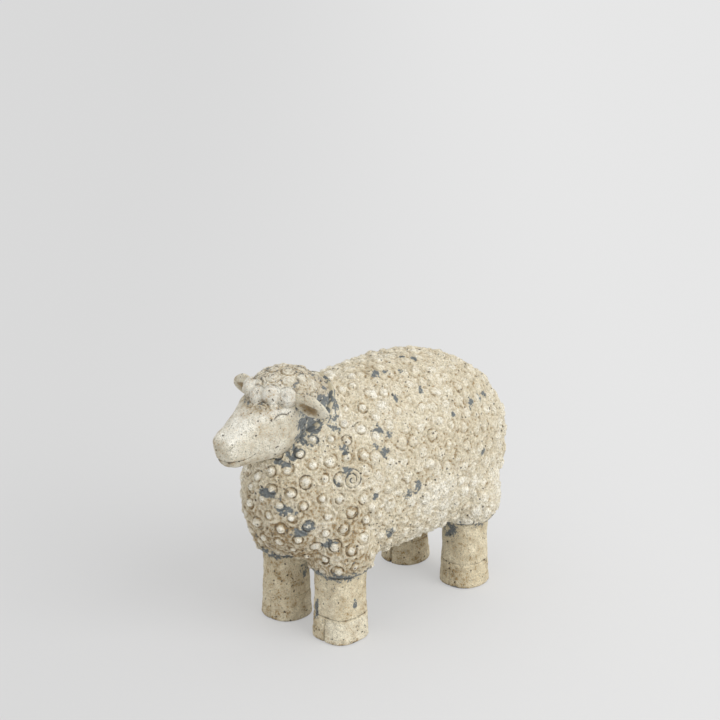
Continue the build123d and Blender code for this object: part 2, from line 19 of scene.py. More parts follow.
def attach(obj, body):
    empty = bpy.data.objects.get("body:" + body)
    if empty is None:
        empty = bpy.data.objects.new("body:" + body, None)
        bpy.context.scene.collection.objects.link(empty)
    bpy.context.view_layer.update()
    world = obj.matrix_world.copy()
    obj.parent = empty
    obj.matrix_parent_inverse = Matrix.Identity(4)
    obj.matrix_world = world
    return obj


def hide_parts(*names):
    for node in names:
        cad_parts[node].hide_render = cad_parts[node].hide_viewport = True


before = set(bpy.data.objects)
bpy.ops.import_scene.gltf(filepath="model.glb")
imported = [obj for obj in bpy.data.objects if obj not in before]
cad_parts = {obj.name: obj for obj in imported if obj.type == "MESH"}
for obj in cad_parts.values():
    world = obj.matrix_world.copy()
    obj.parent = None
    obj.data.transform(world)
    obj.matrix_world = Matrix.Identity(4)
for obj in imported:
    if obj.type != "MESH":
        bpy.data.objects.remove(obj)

LOG = logging.getLogger("sheep")

Colour = tuple[float, float, float]
Point = tuple[float, float, float]
Span = tuple[float, float]

# The neck leans forward by half a right angle: its way out of the body and the upward way across it.
NECK_OUT = np.array((0.0, -math.sqrt(0.5), math.sqrt(0.5)))
NECK_UP = np.array((0.0, math.sqrt(0.5), math.sqrt(0.5)))
SIDEWAYS = np.array((1.0, 0.0, 0.0))


class Side(Enum):
    """The two sides of the sheep, by the sign of X."""

    LEFT = 1
    RIGHT = -1


class Corner(Enum):
    """The four legs, by end and side of the sheep."""

    FRONT_LEFT = "front_left"
    FRONT_RIGHT = "front_right"
    REAR_LEFT = "rear_left"
    REAR_RIGHT = "rear_right"


class Slot(Enum):
    """Material slots of the record."""

    FLEECE = "fleece_wash"
    FACE = "face_wash"
    LEG = "leg_wash"


class Socket:
    """An output of a node that takes part in arithmetic."""

    def __init__(self, net: "Net", out: bpy.types.NodeSocket) -> None:
        """Wraps one output.

        Args:
            net: the tree the node stands in.
            out: the output socket.
        """
        self.net = net
        self.out = out

    @property
    def is_vector(self) -> bool:
        """Whether the output carries three numbers."""
        return self.out.type in {"VECTOR", "RGBA"}

    def other(self, name: str) -> "Socket":
        """Another output of the same node.

        Args:
            name: the name of the output.

        Returns:
            The wrapped output.
        """
        return Socket(self.net, Net.pick(self.out.node.outputs, name))

    def op(self, operation: str, *others: object) -> "Socket":
        """One step of arithmetic with this socket first.

        Args:
            operation: the operation of a Math or Vector Math node.
            others: the other operands, sockets or numbers.

        Returns:
            The result.
        """
        return self.net.calc(operation, self, *others)

    def __add__(self, other: object) -> "Socket":
        """This plus another."""
        return self.op("ADD", other)

    def __radd__(self, other: object) -> "Socket":
        """A number plus this."""
        return self.net.calc("ADD", other, self)

    def __sub__(self, other: object) -> "Socket":
        """This less another."""
        return self.op("SUBTRACT", other)

    def __rsub__(self, other: object) -> "Socket":
        """A number less this."""
        return self.net.calc("SUBTRACT", other, self)

    def __mul__(self, other: object) -> "Socket":
        """This times another."""
        return self.op("MULTIPLY", other)

    def __rmul__(self, other: object) -> "Socket":
        """A number times this."""
        return self.net.calc("MULTIPLY", other, self)

    def __truediv__(self, other: object) -> "Socket":
        """This divided by another."""
        return self.op("DIVIDE", other)

    def __rtruediv__(self, other: object) -> "Socket":
        """A number divided by this."""
        return self.net.calc("DIVIDE", other, self)

    def __pow__(self, other: object) -> "Socket":
        """This to a power."""
        return self.op("POWER", other)

    def __rpow__(self, other: object) -> "Socket":
        """A number to the power of this."""
        return self.net.calc("POWER", other, self)

    def at_least(self, low: object) -> "Socket":
        """The larger of this and a number."""
        return self.op("MAXIMUM", low)

    def at_most(self, high: object) -> "Socket":
        """The smaller of this and a number."""
        return self.op("MINIMUM", high)

    def step(self, low: float, high: float) -> "Socket":
        """A smooth rise from 0 at low to 1 at high."""
        return self.net.node(
            "ShaderNodeMapRange",
            {"interpolation_type": "SMOOTHSTEP"},
            {"Value": self, "From Min": low, "From Max": high},
        )

    def dot(self, other: object) -> "Socket":
        """Dot product with another vector."""
        return self.op("DOT_PRODUCT", other).other("Value")


class Net:
    """A node tree that makes and links its nodes in one call."""

    def __init__(self, tree: bpy.types.NodeTree) -> None:
        """Wraps a tree.

        Args:
            tree: a shader or geometry node tree.
        """
        self.tree = tree

    @staticmethod
    def pick(sockets: Sequence[bpy.types.NodeSocket], key: int | str) -> bpy.types.NodeSocket:
        """Finds a shown socket.

        Args:
            sockets: the inputs or outputs of a node.
            key: its name, or its place among the shown ones.

        Returns:
            The socket.
        """
        shown = [socket for socket in sockets if socket.enabled]
        if isinstance(key, int):
            return shown[key]
        return next(socket for socket in shown if socket.name == key)

    def feed(self, target: bpy.types.NodeSocket, value: object) -> None:
        """Links a socket, or sets a constant, on one input.

        Args:
            target: the input.
            value: a Socket, a list of them, a number, a tuple or a data block.
        """
        if isinstance(value, Socket):
            self.tree.links.new(value.out, target)
        elif isinstance(value, list):
            for each in value:
                self.feed(target, each)
        elif target.type == "RGBA" and isinstance(value, tuple) and len(value) == 3:
            target.default_value = (*value, 1.0)
        elif target.type == "VECTOR" and isinstance(value, (int, float)):
            target.default_value = (value, value, value)
        else:
            target.default_value = value

    def node(
        self,
        kind: str,
        settings: Mapping[str, object] | None = None,
        inputs: Mapping[int | str, object] | None = None,
        output: int | str = 0,
    ) -> Socket:
        """Makes one node.

        Args:
            kind: the node type.
            settings: properties of the node.
            inputs: what goes into its inputs, by name or place.
            output: the output to hand back.

        Returns:
            The output, wrapped.
        """
        made = self.tree.nodes.new(kind)
        for key, value in (settings or {}).items():
            setattr(made, key, value)
        for key, value in (inputs or {}).items():
            self.feed(self.pick(made.inputs, key), value)
        return Socket(self, self.pick(made.outputs, output))

    def calc(self, operation: str, *operands: object) -> Socket:
        """A Math node, or a Vector Math node where an operand is a vector.

        Args:
            operation: the operation of the node.
            operands: sockets or numbers, in order.

        Returns:
            The result.
        """
        vector = any(isinstance(each, Socket) and each.is_vector for each in operands)
        kind = "ShaderNodeVectorMath" if vector else "ShaderNodeMath"
        return self.node(kind, {"operation": operation}, dict(enumerate(operands)))

    def mix(self, a: object, b: object, share: object) -> Socket:
        """A colour between a and b."""
        return self.node(
            "ShaderNodeMix", {"data_type": "RGBA"}, {"Factor": share, "A": a, "B": b}, "Result"
        )

    def attribute(self, name: str) -> Socket:
        """A number kept at each point of the mesh, for a shader."""
        return self.node("ShaderNodeAttribute", {"attribute_name": name}, output="Fac")

    def noise(self, place: Socket, scale: float, detail: float = 2.0) -> Socket:
        """Smooth noise from 0 to 1 with a scale in steps to the metre."""
        return self.node(
            "ShaderNodeTexNoise", None, {"Vector": place, "Scale": scale, "Detail": detail}
        )


def linear(red: int, green: int, blue: int) -> Colour:
    """A scene colour from the values seen on screen.

    Args:
        red: 0 to 255.
        green: 0 to 255.
        blue: 0 to 255.

    Returns:
        The colour in linear shares.
    """
    def one(value: int) -> float:
        """One channel by the sRGB curve."""
        share = value / 255
        return share / 12.92 if share <= 0.04045 else ((share + 0.055) / 1.055) ** 2.4
    return one(red), one(green), one(blue)


@dataclass(frozen=True)
class WashFinish:
    """A cream wash over grey casting: colours, and how much each shows, with painted shade in hollows,
    creases and groove rings and painted highlights on tops.
    """

    name: str
    cream: Colour
    chalk: Colour
    stain: Colour
    bare: Colour
    pit: Colour
    hollow_stain: float
    mottling: float
    stain_level: float
    bare_level: float
    pit_level: float
    roughness: float

    # Scales in steps to the metre, and the share of each noise, from broad clouds to fine grain.
    NOISE_SCALES = (24.0, 95.0, 290.0, 700.0)
    NOISE_DETAIL = 4.0
    STAIN_NOISE = (1.3, 1.5, 2.3, 2.6)
    STAIN_SPAN = (-0.3, 1.1)
    WORN_NOISE = (0.8, 1.3, 1.3, 0.6)
    WORN_SPAN = (0.48, 0.57)
    SPECK_SCALE = 170.0
    SPECK_SPAN = (0.76, 0.79)
    PIT_SIZE = 0.22
    PIT_SPAN = (0.0, 0.10)
    WORN_ROUGHNESS = 0.06
    BUMP_HEIGHT = 0.0013

    @staticmethod
    def blend(noises: Sequence[Socket], shares: Sequence[float]) -> Socket:
        """Adds up noises.

        Args:
            noises: the noises, broad to fine.
            shares: how much of each goes in.

        Returns:
            The sum.
        """
        total = noises[0] * shares[0]
        for each, share in zip(noises[1:], shares[1:]):
            total = total + each * share
        return total

    def make(self) -> bpy.types.Material:
        """Builds the material.

        Returns:
            A material that reads the point attributes hollow, tip, ring, bare, grime and crease; hollow and
            grime carry stain and painted shade, ring painted shade with some stain, crease painted shade, tip
            a painted highlight.
        """
        material = bpy.data.materials.new(self.name)
        material.use_nodes = True
        net = Net(material.node_tree)
        place = net.node("ShaderNodeTexCoord", output="Object")
        hollow, tip, ring, bare, grime, crease = (
            net.attribute(name) for name in ("hollow", "tip", "ring", "bare", "grime", "crease")
        )
        noises = [net.noise(place, scale, self.NOISE_DETAIL) - 0.5 for scale in self.NOISE_SCALES]
        cloud, patch, mottle, grain = noises
        # Brown stain, darkened further with painted shade: the hollows and the grime and shade masks pull the
        # wash toward the stain colour, and painted highlights on tops hold it back.
        stain = hollow * self.hollow_stain + grime * 0.5 - tip * 0.35
        stain = stain + self.blend(noises, self.STAIN_NOISE) * self.mottling
        stain = (stain + self.stain_level).step(*self.STAIN_SPAN)
        # The same hollows and grime and shade masks also add a little grey bare wash.
        worn = bare + hollow * 0.10 - tip * 0.25 + grime * 0.12
        worn = worn + self.blend(noises, self.WORN_NOISE)
        worn = (worn + self.bare_level).step(*self.WORN_SPAN)
        specks = net.node("ShaderNodeTexVoronoi", None, {"Vector": place, "Scale": self.SPECK_SCALE})
        chosen = specks.other("Color").dot((1.0, 0.0, 0.0))
        chosen = (chosen + cloud * 0.5 + grime * 0.08 + self.pit_level).step(*self.SPECK_SPAN)
        pits = (mottle * 1.3 + self.PIT_SIZE - specks).step(*self.PIT_SPAN) * chosen
        # Paler chalky wash at random, and a painted highlight on tops and on faces turned to the light.
        chalk_and_highlight_share = (tip * 0.9 + mottle * 2.4 - cloud * 1.2 + 0.2).step(0.0, 1.0)
        # Real pinholes, and painted shade in creases and groove rings, take the dark pit colour; the rings
        # also hold some stain.
        dark = pits * 0.75 + crease * (0.9 + patch * 1.6) + ring * (0.72 + patch * 1.8)
        colour = net.mix(self.cream, self.chalk, chalk_and_highlight_share)
        colour = net.mix(colour, self.stain, stain)
        colour = net.mix(colour, self.bare, worn)
        colour = net.mix(colour, self.pit, dark.step(0.0, 1.0))
        colour = colour * (grain * 1.8 + mottle * 1.1 + 1.0)
        height = grain * 1.2 + mottle * 1.6 - pits * 0.8 - worn * 0.35 - ring * 0.6
        bump = net.node(
            "ShaderNodeBump", None, {"Strength": 1.0, "Distance": self.BUMP_HEIGHT, "Height": height}
        )
        shader = material.node_tree.nodes["Principled BSDF"]
        net.feed(shader.inputs["Base Color"], colour)
        net.feed(shader.inputs["Roughness"], worn * self.WORN_ROUGHNESS + self.roughness)
        net.feed(shader.inputs["Normal"], bump)
        return material


FLEECE_FINISH = WashFinish(
    "cream wash on fleece",
    cream=linear(228, 217, 190), chalk=linear(241, 237, 224), stain=linear(150, 125, 86),
    bare=linear(122, 127, 127), pit=linear(62, 54, 43),
    hollow_stain=0.34, mottling=1.2, stain_level=-0.24, bare_level=-0.08, pit_level=0.06, roughness=0.84,
)
FACE_FINISH = WashFinish(
    "cream wash on face",
    cream=linear(228, 221, 200), chalk=linear(241, 238, 226), stain=linear(156, 132, 94),
    bare=linear(122, 126, 126), pit=linear(62, 52, 41),
    hollow_stain=0.45, mottling=1.25, stain_level=-0.10, bare_level=-0.12, pit_level=0.08, roughness=0.78,
)
LEG_FINISH = WashFinish(
    "cream wash on legs",
    cream=linear(226, 213, 182), chalk=linear(238, 230, 207), stain=linear(148, 122, 80),
    bare=linear(116, 120, 120), pit=linear(58, 50, 40),
    hollow_stain=0.40, mottling=1.5, stain_level=-0.20, bare_level=-0.12, pit_level=0.05, roughness=0.84,
)


@dataclass(frozen=True)
class PlainFinish:
    """Material of a hidden or bare piece: two tones mixed by noise."""

    name: str
    light: Colour
    dark: Colour
    metallic: float
    roughness: float
    scale: float

    def make(self) -> bpy.types.Material:
        """Builds the material.

        Returns:
            The material.
        """
        material = bpy.data.materials.new(self.name)
        material.use_nodes = True
        net = Net(material.node_tree)
        place = net.node("ShaderNodeTexCoord", output="Object")
        tone = net.noise(place, self.scale, 5.0)
        shader = material.node_tree.nodes["Principled BSDF"]
        net.feed(shader.inputs["Base Color"], net.mix(self.dark, self.light, tone.step(0.47, 0.58)))
        net.feed(shader.inputs["Roughness"], tone * 0.1 + self.roughness)
        net.feed(shader.inputs["Metallic"], self.metallic)
        bump = net.node("ShaderNodeBump", None, {"Strength": 0.4, "Distance": 0.001, "Height": tone})
        net.feed(shader.inputs["Normal"], bump)
        return material


MORTAR_FINISH = PlainFinish("grey mortar", linear(196, 186, 160), linear(106, 111, 112), 0.0, 0.85, 130.0)
STEEL_FINISH = PlainFinish("steel rod", linear(150, 150, 150), linear(110, 104, 98), 1.0, 0.35, 300.0)


@dataclass
class Mesh:
    """Plain points and faces before they become an object."""

    points: np.ndarray
    faces: list[tuple[int, ...]]

    def joined(self, other: "Mesh") -> "Mesh":
        """This and another mesh as one."""
        shift = len(self.points)
        faces = self.faces + [tuple(index + shift for index in face) for face in other.faces]
        return Mesh(np.vstack((self.points, other.points)), faces)


def tube(rings: np.ndarray) -> Mesh:
    """A closed skin over rings of points, with a fan at each end.

    Args:
        rings: array of ring, point round the ring, coordinate.

    Returns:
        The closed mesh, faces outward for rings that run counter-clockwise seen from the far end.
    """
    count, around, _ = rings.shape
    points = np.vstack((rings.reshape(-1, 3), rings[0].mean(axis=0), rings[-1].mean(axis=0)))
    faces: list[tuple[int, ...]] = []
    for ring in range(count - 1):
        for step in range(around):
            following = (step + 1) % around
            low = ring * around
            high = low + around
            faces.append((low + step, low + following, high + following, high + step))
    first = count * around
    last = first + 1
    for step in range(around):
        following = (step + 1) % around
        faces.append((first, following, step))
        faces.append((last, (count - 1) * around + step, (count - 1) * around + following))
    return Mesh(points, faces)


def build(name: str, mesh: Mesh) -> bpy.types.Object:
    """Makes an object of a mesh, with outward normals and smooth faces.

    Args:
        name: the object's name.
        mesh: its points and faces.

    Returns:
        The object, linked to the scene.
    """
    data = bpy.data.meshes.new(name)
    data.from_pydata(mesh.points.tolist(), [], mesh.faces)
    made = bmesh.new()
    made.from_mesh(data)
    bmesh.ops.recalc_face_normals(made, faces=made.faces)
    made.to_mesh(data)
    made.free()
    data.shade_smooth()
    piece = bpy.data.objects.new(name, data)
    bpy.context.scene.collection.objects.link(piece)
    return piece


def bake(piece: bpy.types.Object) -> None:
    """Turns an object's modifiers into plain mesh.

    Args:
        piece: the object.
    """
    graph = bpy.context.evaluated_depsgraph_get()
    baked = bpy.data.meshes.new_from_object(
        piece.evaluated_get(graph), preserve_all_data_layers=True, depsgraph=graph
    )
    old = piece.data
    piece.modifiers.clear()
    piece.data = baked
    baked.name = piece.name
    bpy.data.meshes.remove(old)


def merge(piece: bpy.types.Object, voxel: float, smooth: int) -> None:
    """Melts overlapping closed skins of one object into a single even skin.

    Args:
        piece: the object.
        voxel: size of the faces of the new skin.
        smooth: passes of smoothing over it.
    """
    remesh = piece.modifiers.new("merge", "REMESH")
    remesh.mode = "VOXEL"
    remesh.voxel_size = voxel
    remesh.use_smooth_shade = True
    soften = piece.modifiers.new("soften", "SMOOTH")
    soften.factor = 0.5
    soften.iterations = smooth
    bake(piece)


def coordinates(piece: bpy.types.Object) -> np.ndarray:
    """The points of an object."""
    flat = np.empty(len(piece.data.vertices) * 3)
    piece.data.vertices.foreach_get("co", flat)
    return flat.reshape(-1, 3)


def normals(piece: bpy.types.Object) -> np.ndarray:
    """The smooth normals at the points of an object."""
    flat = np.empty(len(piece.data.vertices) * 3)
    piece.data.vertices.foreach_get("normal", flat)
    return flat.reshape(-1, 3)


def move(piece: bpy.types.Object, points: np.ndarray) -> None:
    """Sets the points of an object."""
    piece.data.vertices.foreach_set("co", points.ravel())
    piece.data.update()


def store(piece: bpy.types.Object, name: str, values: np.ndarray) -> None:
    """Keeps one number at each point of an object.

    Args:
        piece: the object.
        name: the attribute.
        values: one number for each point.
    """
    layer = piece.data.attributes.get(name) or piece.data.attributes.new(name, "FLOAT", "POINT")
    layer.data.foreach_set("value", np.asarray(values, dtype=np.float32))


def ramp(values: np.ndarray, low: float, high: float) -> np.ndarray:
    """A smooth rise from 0 at low to 1 at high."""
    share = np.clip((values - low) / (high - low), 0.0, 1.0)
    return share * share * (3.0 - 2.0 * share)


def lumps(points: np.ndarray, scale: float, seed: float) -> np.ndarray:
    """Smooth noise from -1 to 1 at points, with a scale in steps to the metre."""
    shift = Vector((seed, seed * 1.7, seed * 2.3))
    return np.array([noise.fractal(Vector(point) * scale + shift, 1.0, 2.0, 3) for point in points])


def follow(table: Sequence[Sequence[float]], places: np.ndarray) -> np.ndarray:
    """A smooth curve through the rows of a table.

    Args:
        table: rows of place and values, by rising place.
        places: where to read the curve.

    Returns:
        An array of place and value.
    """
    rows = np.array(table)
    keys = rows[:, 0]
    values = rows[:, 1:]
    slopes = np.gradient(values, keys, axis=0)
    index = np.clip(np.searchsorted(keys, places) - 1, 0, len(keys) - 2)
    gap = (keys[index + 1] - keys[index])[:, None]
    share = ((places - keys[index])[:, None]) / gap
    square = share * share
    cube = square * share
    return (
        values[index] * (2 * cube - 3 * square + 1)
        + slopes[index] * gap * (cube - 2 * square + share)
        + values[index + 1] * (3 * square - 2 * cube)
        + slopes[index + 1] * gap * (cube - square)
    )


def power(values: np.ndarray, exponent: float) -> np.ndarray:
    """A power that keeps the sign."""
    return np.sign(values) * np.abs(values) ** exponent


def mound(off: np.ndarray, half: float) -> np.ndarray:
    """A round rise to 1 where a distance is zero, almost gone at twice a half width."""
    return np.exp(-((off / half) ** 2))


def full_turn(count: int) -> np.ndarray:
    """Even steps of a full turn, in radians."""
    return np.linspace(0, 2 * math.pi, count, endpoint=False)


def neck_cone(joint: Point, radii: Span, length: float, steps: int, sides: int) -> Mesh:
    """A plain cone along the neck.

    Args:
        joint: middle of its first ring.
        radii: radius of the first and of the last ring.
        length: how far it runs out of the body, less than zero for into the body.
        steps: count of rings.
        sides: points round a ring.

    Returns:
        The closed cone.
    """
    turns = full_turn(sides)
    circle = np.outer(np.cos(turns), SIDEWAYS) + np.outer(np.sin(turns), NECK_UP)
    rings = []
    for share in np.linspace(0, 1, steps):
        radius = radii[0] + (radii[1] - radii[0]) * share
        rings.append(np.array(joint) + NECK_OUT * length * share + radius * circle)
    return tube(np.array(rings))


@dataclass(frozen=True)
class CurlStyle:
    """Sizes of fleece curls: a bead inside a spiral ring."""

    front_spacing: float
    flank_spacing: float
    front_radius: float
    flank_radius: float
    bead_height: float
    ring_height: float
    bead_share: float
    lump_height: float
    warp: float
    seed: int


class Draw(Enum):
    """What is drawn by chance for each curl, with the seed of the draw."""

    RADIUS = 1
    HAND = 2
    START = 3
    ASIDE_U = 4
    ASIDE_V = 5
    BEAD_HEIGHT = 6
    RING_TONE = 7
    BEAD_SIZE = 8
    COIL = 9


class CurlTree:
    """Geometry nodes that raise fleece curls on a skin."""

    POINT_DENSITY = 60000.0
    WARP_SCALE = 75.0
    COARSE_SCALE = 42.0
    FINE_SCALE = 185.0
    SLANT = (0.31, 0.52, 0.80)
    BEAD_ROUNDNESS = 0.72
    TRACK_CLIMB_SHARE = 0.26
    TRACK_GAP_SHARE = 0.06
    GROOVE_HALF_SHARE = 0.10
    GROOVE_DEPTH = 0.0008
    RIM_OUT_SHARE = 0.20
    RIM_HALF_SHARE = 0.24
    COIL_TURNS = 2.3
    COIL_HEIGHT = 0.0007
    HOLLOW_PASSES = 14
    HOLLOW_DEPTH = 0.0012
    CREVICE_PASSES = 3
    CREVICE_DEPTH = 0.0005

    def __init__(self) -> None:
        """Builds the tree."""
        self.tree = bpy.data.node_groups.new("Fleece curls", "GeometryNodeTree")
        sides = self.tree.interface
        sides.new_socket("Geometry", in_out="INPUT", socket_type="NodeSocketGeometry")
        kinds = {size.name: "NodeSocketFloat" for size in fields(CurlStyle)}
        kinds |= {"seed": "NodeSocketInt", "finish": "NodeSocketMaterial"}
        self.keys = {
            name: sides.new_socket(name, in_out="INPUT", socket_type=kind).identifier
            for name, kind in kinds.items()
        }
        sides.new_socket("Geometry", in_out="OUTPUT", socket_type="NodeSocketGeometry")
        self.net = Net(self.tree)
        self.entry = self.net.node("NodeGroupInput", output="Geometry")
        self.finish()

    def attribute(self, name: str) -> Socket:
        """A number kept at each point."""
        return self.net.node("GeometryNodeInputNamedAttribute", {"data_type": "FLOAT"}, {"Name": name})

    def chance(self, low: float, high: float, curl: Socket, draw: Draw) -> Socket:
        """A random number for each curl.

        Args:
            low: the least value.
            high: the greatest value.
            curl: the number of the curl.
            draw: what is drawn.

        Returns:
            The number.
        """
        inputs = {"Min": low, "Max": high, "ID": curl, "Seed": draw.value}
        return self.net.node("FunctionNodeRandomValue", {"data_type": "FLOAT"}, inputs, "Value")

    def centres(self, crisp: Socket, wool: Socket) -> Socket:
        """Spreads points over the skin, wider apart in front than on the flanks.

        Args:
            crisp: share of the crisp curls of the chest.
            wool: share of the wool.

        Returns:
            The points.
        """
        spreads: list[Socket] = []
        front = crisp.op("GREATER_THAN", 0.5)
        for chosen, spacing in ((front, "front_spacing"), (1.0 - front, "flank_spacing")):
            spreads.append(
                self.net.node(
                    "GeometryNodeDistributePointsOnFaces",
                    {"distribute_method": "POISSON"},
                    {
                        "Mesh": self.entry,
                        "Selection": chosen,
                        "Distance Min": self.entry.other(spacing),
                        "Density Max": self.POINT_DENSITY,
                        "Density Factor": wool,
                        "Seed": self.entry.other("seed"),
                    },
                    "Points",
                )
            )
        return self.net.node("GeometryNodeJoinGeometry", None, {0: spreads})

    def finish(self) -> None:
        """Links the heights of bead, ring and lumps to the skin and keeps them for the finish."""
        net = self.net
        wool = self.attribute("wool")
        crisp = self.attribute("crisp")
        place = net.node("GeometryNodeInputPosition")
        normal = net.node("GeometryNodeInputNormal")
        points = self.centres(crisp, wool)
        curl = net.node("GeometryNodeSampleNearest", {"domain": "POINT"}, {"Geometry": points})
        centre = net.node(
            "GeometryNodeSampleIndex",
            {"data_type": "FLOAT_VECTOR", "domain": "POINT"},
            {"Geometry": points, "Value": place, "Index": curl},
        )
        drift = net.noise(place, self.WARP_SCALE).other("Color")
        away = place - centre + (drift - 0.5) * self.entry.other("warp") * (1.4 - crisp)
        across = net.calc("NORMALIZE", net.calc("CROSS_PRODUCT", normal, self.SLANT))
        along = net.calc("CROSS_PRODUCT", normal, across)
        front_radius = self.entry.other("front_radius")
        flank_radius = self.entry.other("flank_radius")
        radius = flank_radius + (front_radius - flank_radius) * crisp
        radius = radius * self.chance(0.88, 1.14, curl, Draw.RADIUS)
        u = away.dot(across) / radius
        v = away.dot(along) / radius
        reach = (u * u + v * v).op("SQRT")
        hand = self.chance(0.0, 1.0, curl, Draw.HAND).op("GREATER_THAN", 0.5) * 2.0 - 1.0
        start = self.chance(0.0, 1.0, curl, Draw.START)
        turn = (v.op("ARCTAN2", u) * hand * (0.5 / math.pi) + start).op("FRACT")
        aside_u = u - self.chance(-0.12, 0.12, curl, Draw.ASIDE_U)
        aside_v = v - self.chance(-0.12, 0.12, curl, Draw.ASIDE_V)
        bead_share = self.entry.other("bead_share") * (1.25 - crisp * 0.25)
        bead_share = bead_share * self.chance(0.82, 1.12, curl, Draw.BEAD_SIZE)
        bead_reach = (aside_u * aside_u + aside_v * aside_v) / (bead_share * bead_share)
        dome = (1.0 - bead_reach).at_least(0.0) ** self.BEAD_ROUNDNESS * wool
        bead = dome * self.entry.other("bead_height") * (crisp * 0.2 + 0.8)
        bead = bead * self.chance(0.45, 1.25, curl, Draw.BEAD_HEIGHT)
        ends = turn.step(0.0, 0.12) * (1.0 - turn.step(0.82, 1.0))
        track = turn * self.TRACK_CLIMB_SHARE + bead_share + self.TRACK_GAP_SHARE
        groove = self.line(reach - track, self.GROOVE_HALF_SHARE) * ends * crisp * wool
        rim = self.line(reach - track - self.RIM_OUT_SHARE, self.RIM_HALF_SHARE)
        rim = rim * ends * self.entry.other("ring_height") * wool
        coil = ((reach * self.COIL_TURNS - turn) * (2.0 * math.pi)).op("COSINE") * (1.0 - crisp)
        coil = coil * self.chance(0.2, 1.3, curl, Draw.COIL) * wool
        coil = coil * reach.step(0.05, 0.30) * (1.0 - reach.step(0.95, 1.40))
        coarse = (net.noise(place, self.COARSE_SCALE) - 0.5) * 2.0
        fine = (net.noise(place, self.FINE_SCALE, 5.0) - 0.5) * 3.2
        height = bead.at_least(rim) - groove * self.GROOVE_DEPTH + coil * self.COIL_HEIGHT
        height = height + (coarse + fine * (1.3 - dome * 0.5)) * self.entry.other("lump_height") * wool
        # How far each point lies below its blurred surroundings, broad and fine; these hollows get brown
        # stain and painted shade in the finish.
        hollow = (self.blur(height, self.HOLLOW_PASSES) - height) / self.HOLLOW_DEPTH
        crevice = (self.blur(height, self.CREVICE_PASSES) - height) / self.CREVICE_DEPTH
        crevice = crevice.at_least(0.0).at_most(1.0)
        shown = self.entry
        # Kept for the finish: the hollows, for stain and painted shade; bead tops, lightened as a painted
        # highlight; and groove rings, darkened with painted shade and some stain.
        kept = {
            "hollow": (hollow + crevice * 0.8) * wool,
            "tip": self.attribute("tip") + dome * (crisp * 0.4 + 0.25),
            "ring": groove * self.chance(0.15, 1.0, curl, Draw.RING_TONE),
        }
        for name, value in kept.items():
            shown = net.node(
                "GeometryNodeStoreNamedAttribute",
                {"data_type": "FLOAT", "domain": "POINT"},
                {"Geometry": shown, "Name": name, "Value": value},
            )
        shown = net.node("GeometryNodeSetPosition", None, {"Geometry": shown, "Offset": normal * height})
        shown = net.node("GeometryNodeRealizeInstances", None, {"Geometry": shown})
        shown = net.node(
            "GeometryNodeSetMaterial", None, {"Geometry": shown, "Material": self.entry.other("finish")}
        )
        leave = self.tree.nodes.new("NodeGroupOutput")
        net.feed(leave.inputs[0], shown)

    @staticmethod
    def line(off: Socket, half_width: float) -> Socket:
        """A round ridge from 1 where a distance is zero down to 0 at a half width."""
        share = off / half_width
        return (1.0 - share * share).at_least(0.0)

    def blur(self, value: Socket, passes: int) -> Socket:
        """A value averaged with its neighbours."""
        return self.net.node(
            "GeometryNodeBlurAttribute", {"data_type": "FLOAT"}, {"Value": value, "Iterations": passes}
        )

    def apply(self, piece: bpy.types.Object, style: CurlStyle, finish: bpy.types.Material) -> None:
        """Raises the curls on an object and turns it into plain mesh.

        Args:
            piece: the object, with the attributes wool and crisp.
            style: sizes of the curls.
            finish: the material of the skin.
        """
        modifier = piece.modifiers.new("Fleece curls", "NODES")
        modifier.node_group = self.tree
        for size in fields(style):
            modifier[self.keys[size.name]] = getattr(style, size.name)
        modifier[self.keys["finish"]] = finish
        bake(piece)


def declare(piece: bpy.types.Object, slot: Slot, *nodes: str) -> None:
    """Ties a piece to the construction model.

    Args:
        piece: the finished object.
        slot: the record's material slot; not used.
        nodes: the nodes it stands for.
    """
    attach(piece, "root")
    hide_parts(*nodes)
    LOG.info("%s: %d faces, stands for %s", piece.name, len(piece.data.polygons), ", ".join(nodes))


def paint(piece: bpy.types.Object, finish: bpy.types.Material) -> None:
    """Gives an object one material."""
    piece.data.materials.clear()
    piece.data.materials.append(finish)


class View(Enum):
    """How a worn spot is laid on the sheep, by the two axes that place it."""

    SIDE = (1, 2)
    TOP = (0, 1)


@dataclass(frozen=True)
class BarePatch:
    """A spot on the sheep's left side or back where the wash has worn off."""

    across: float
    along: float
    radius: float
    view: View = View.SIDE


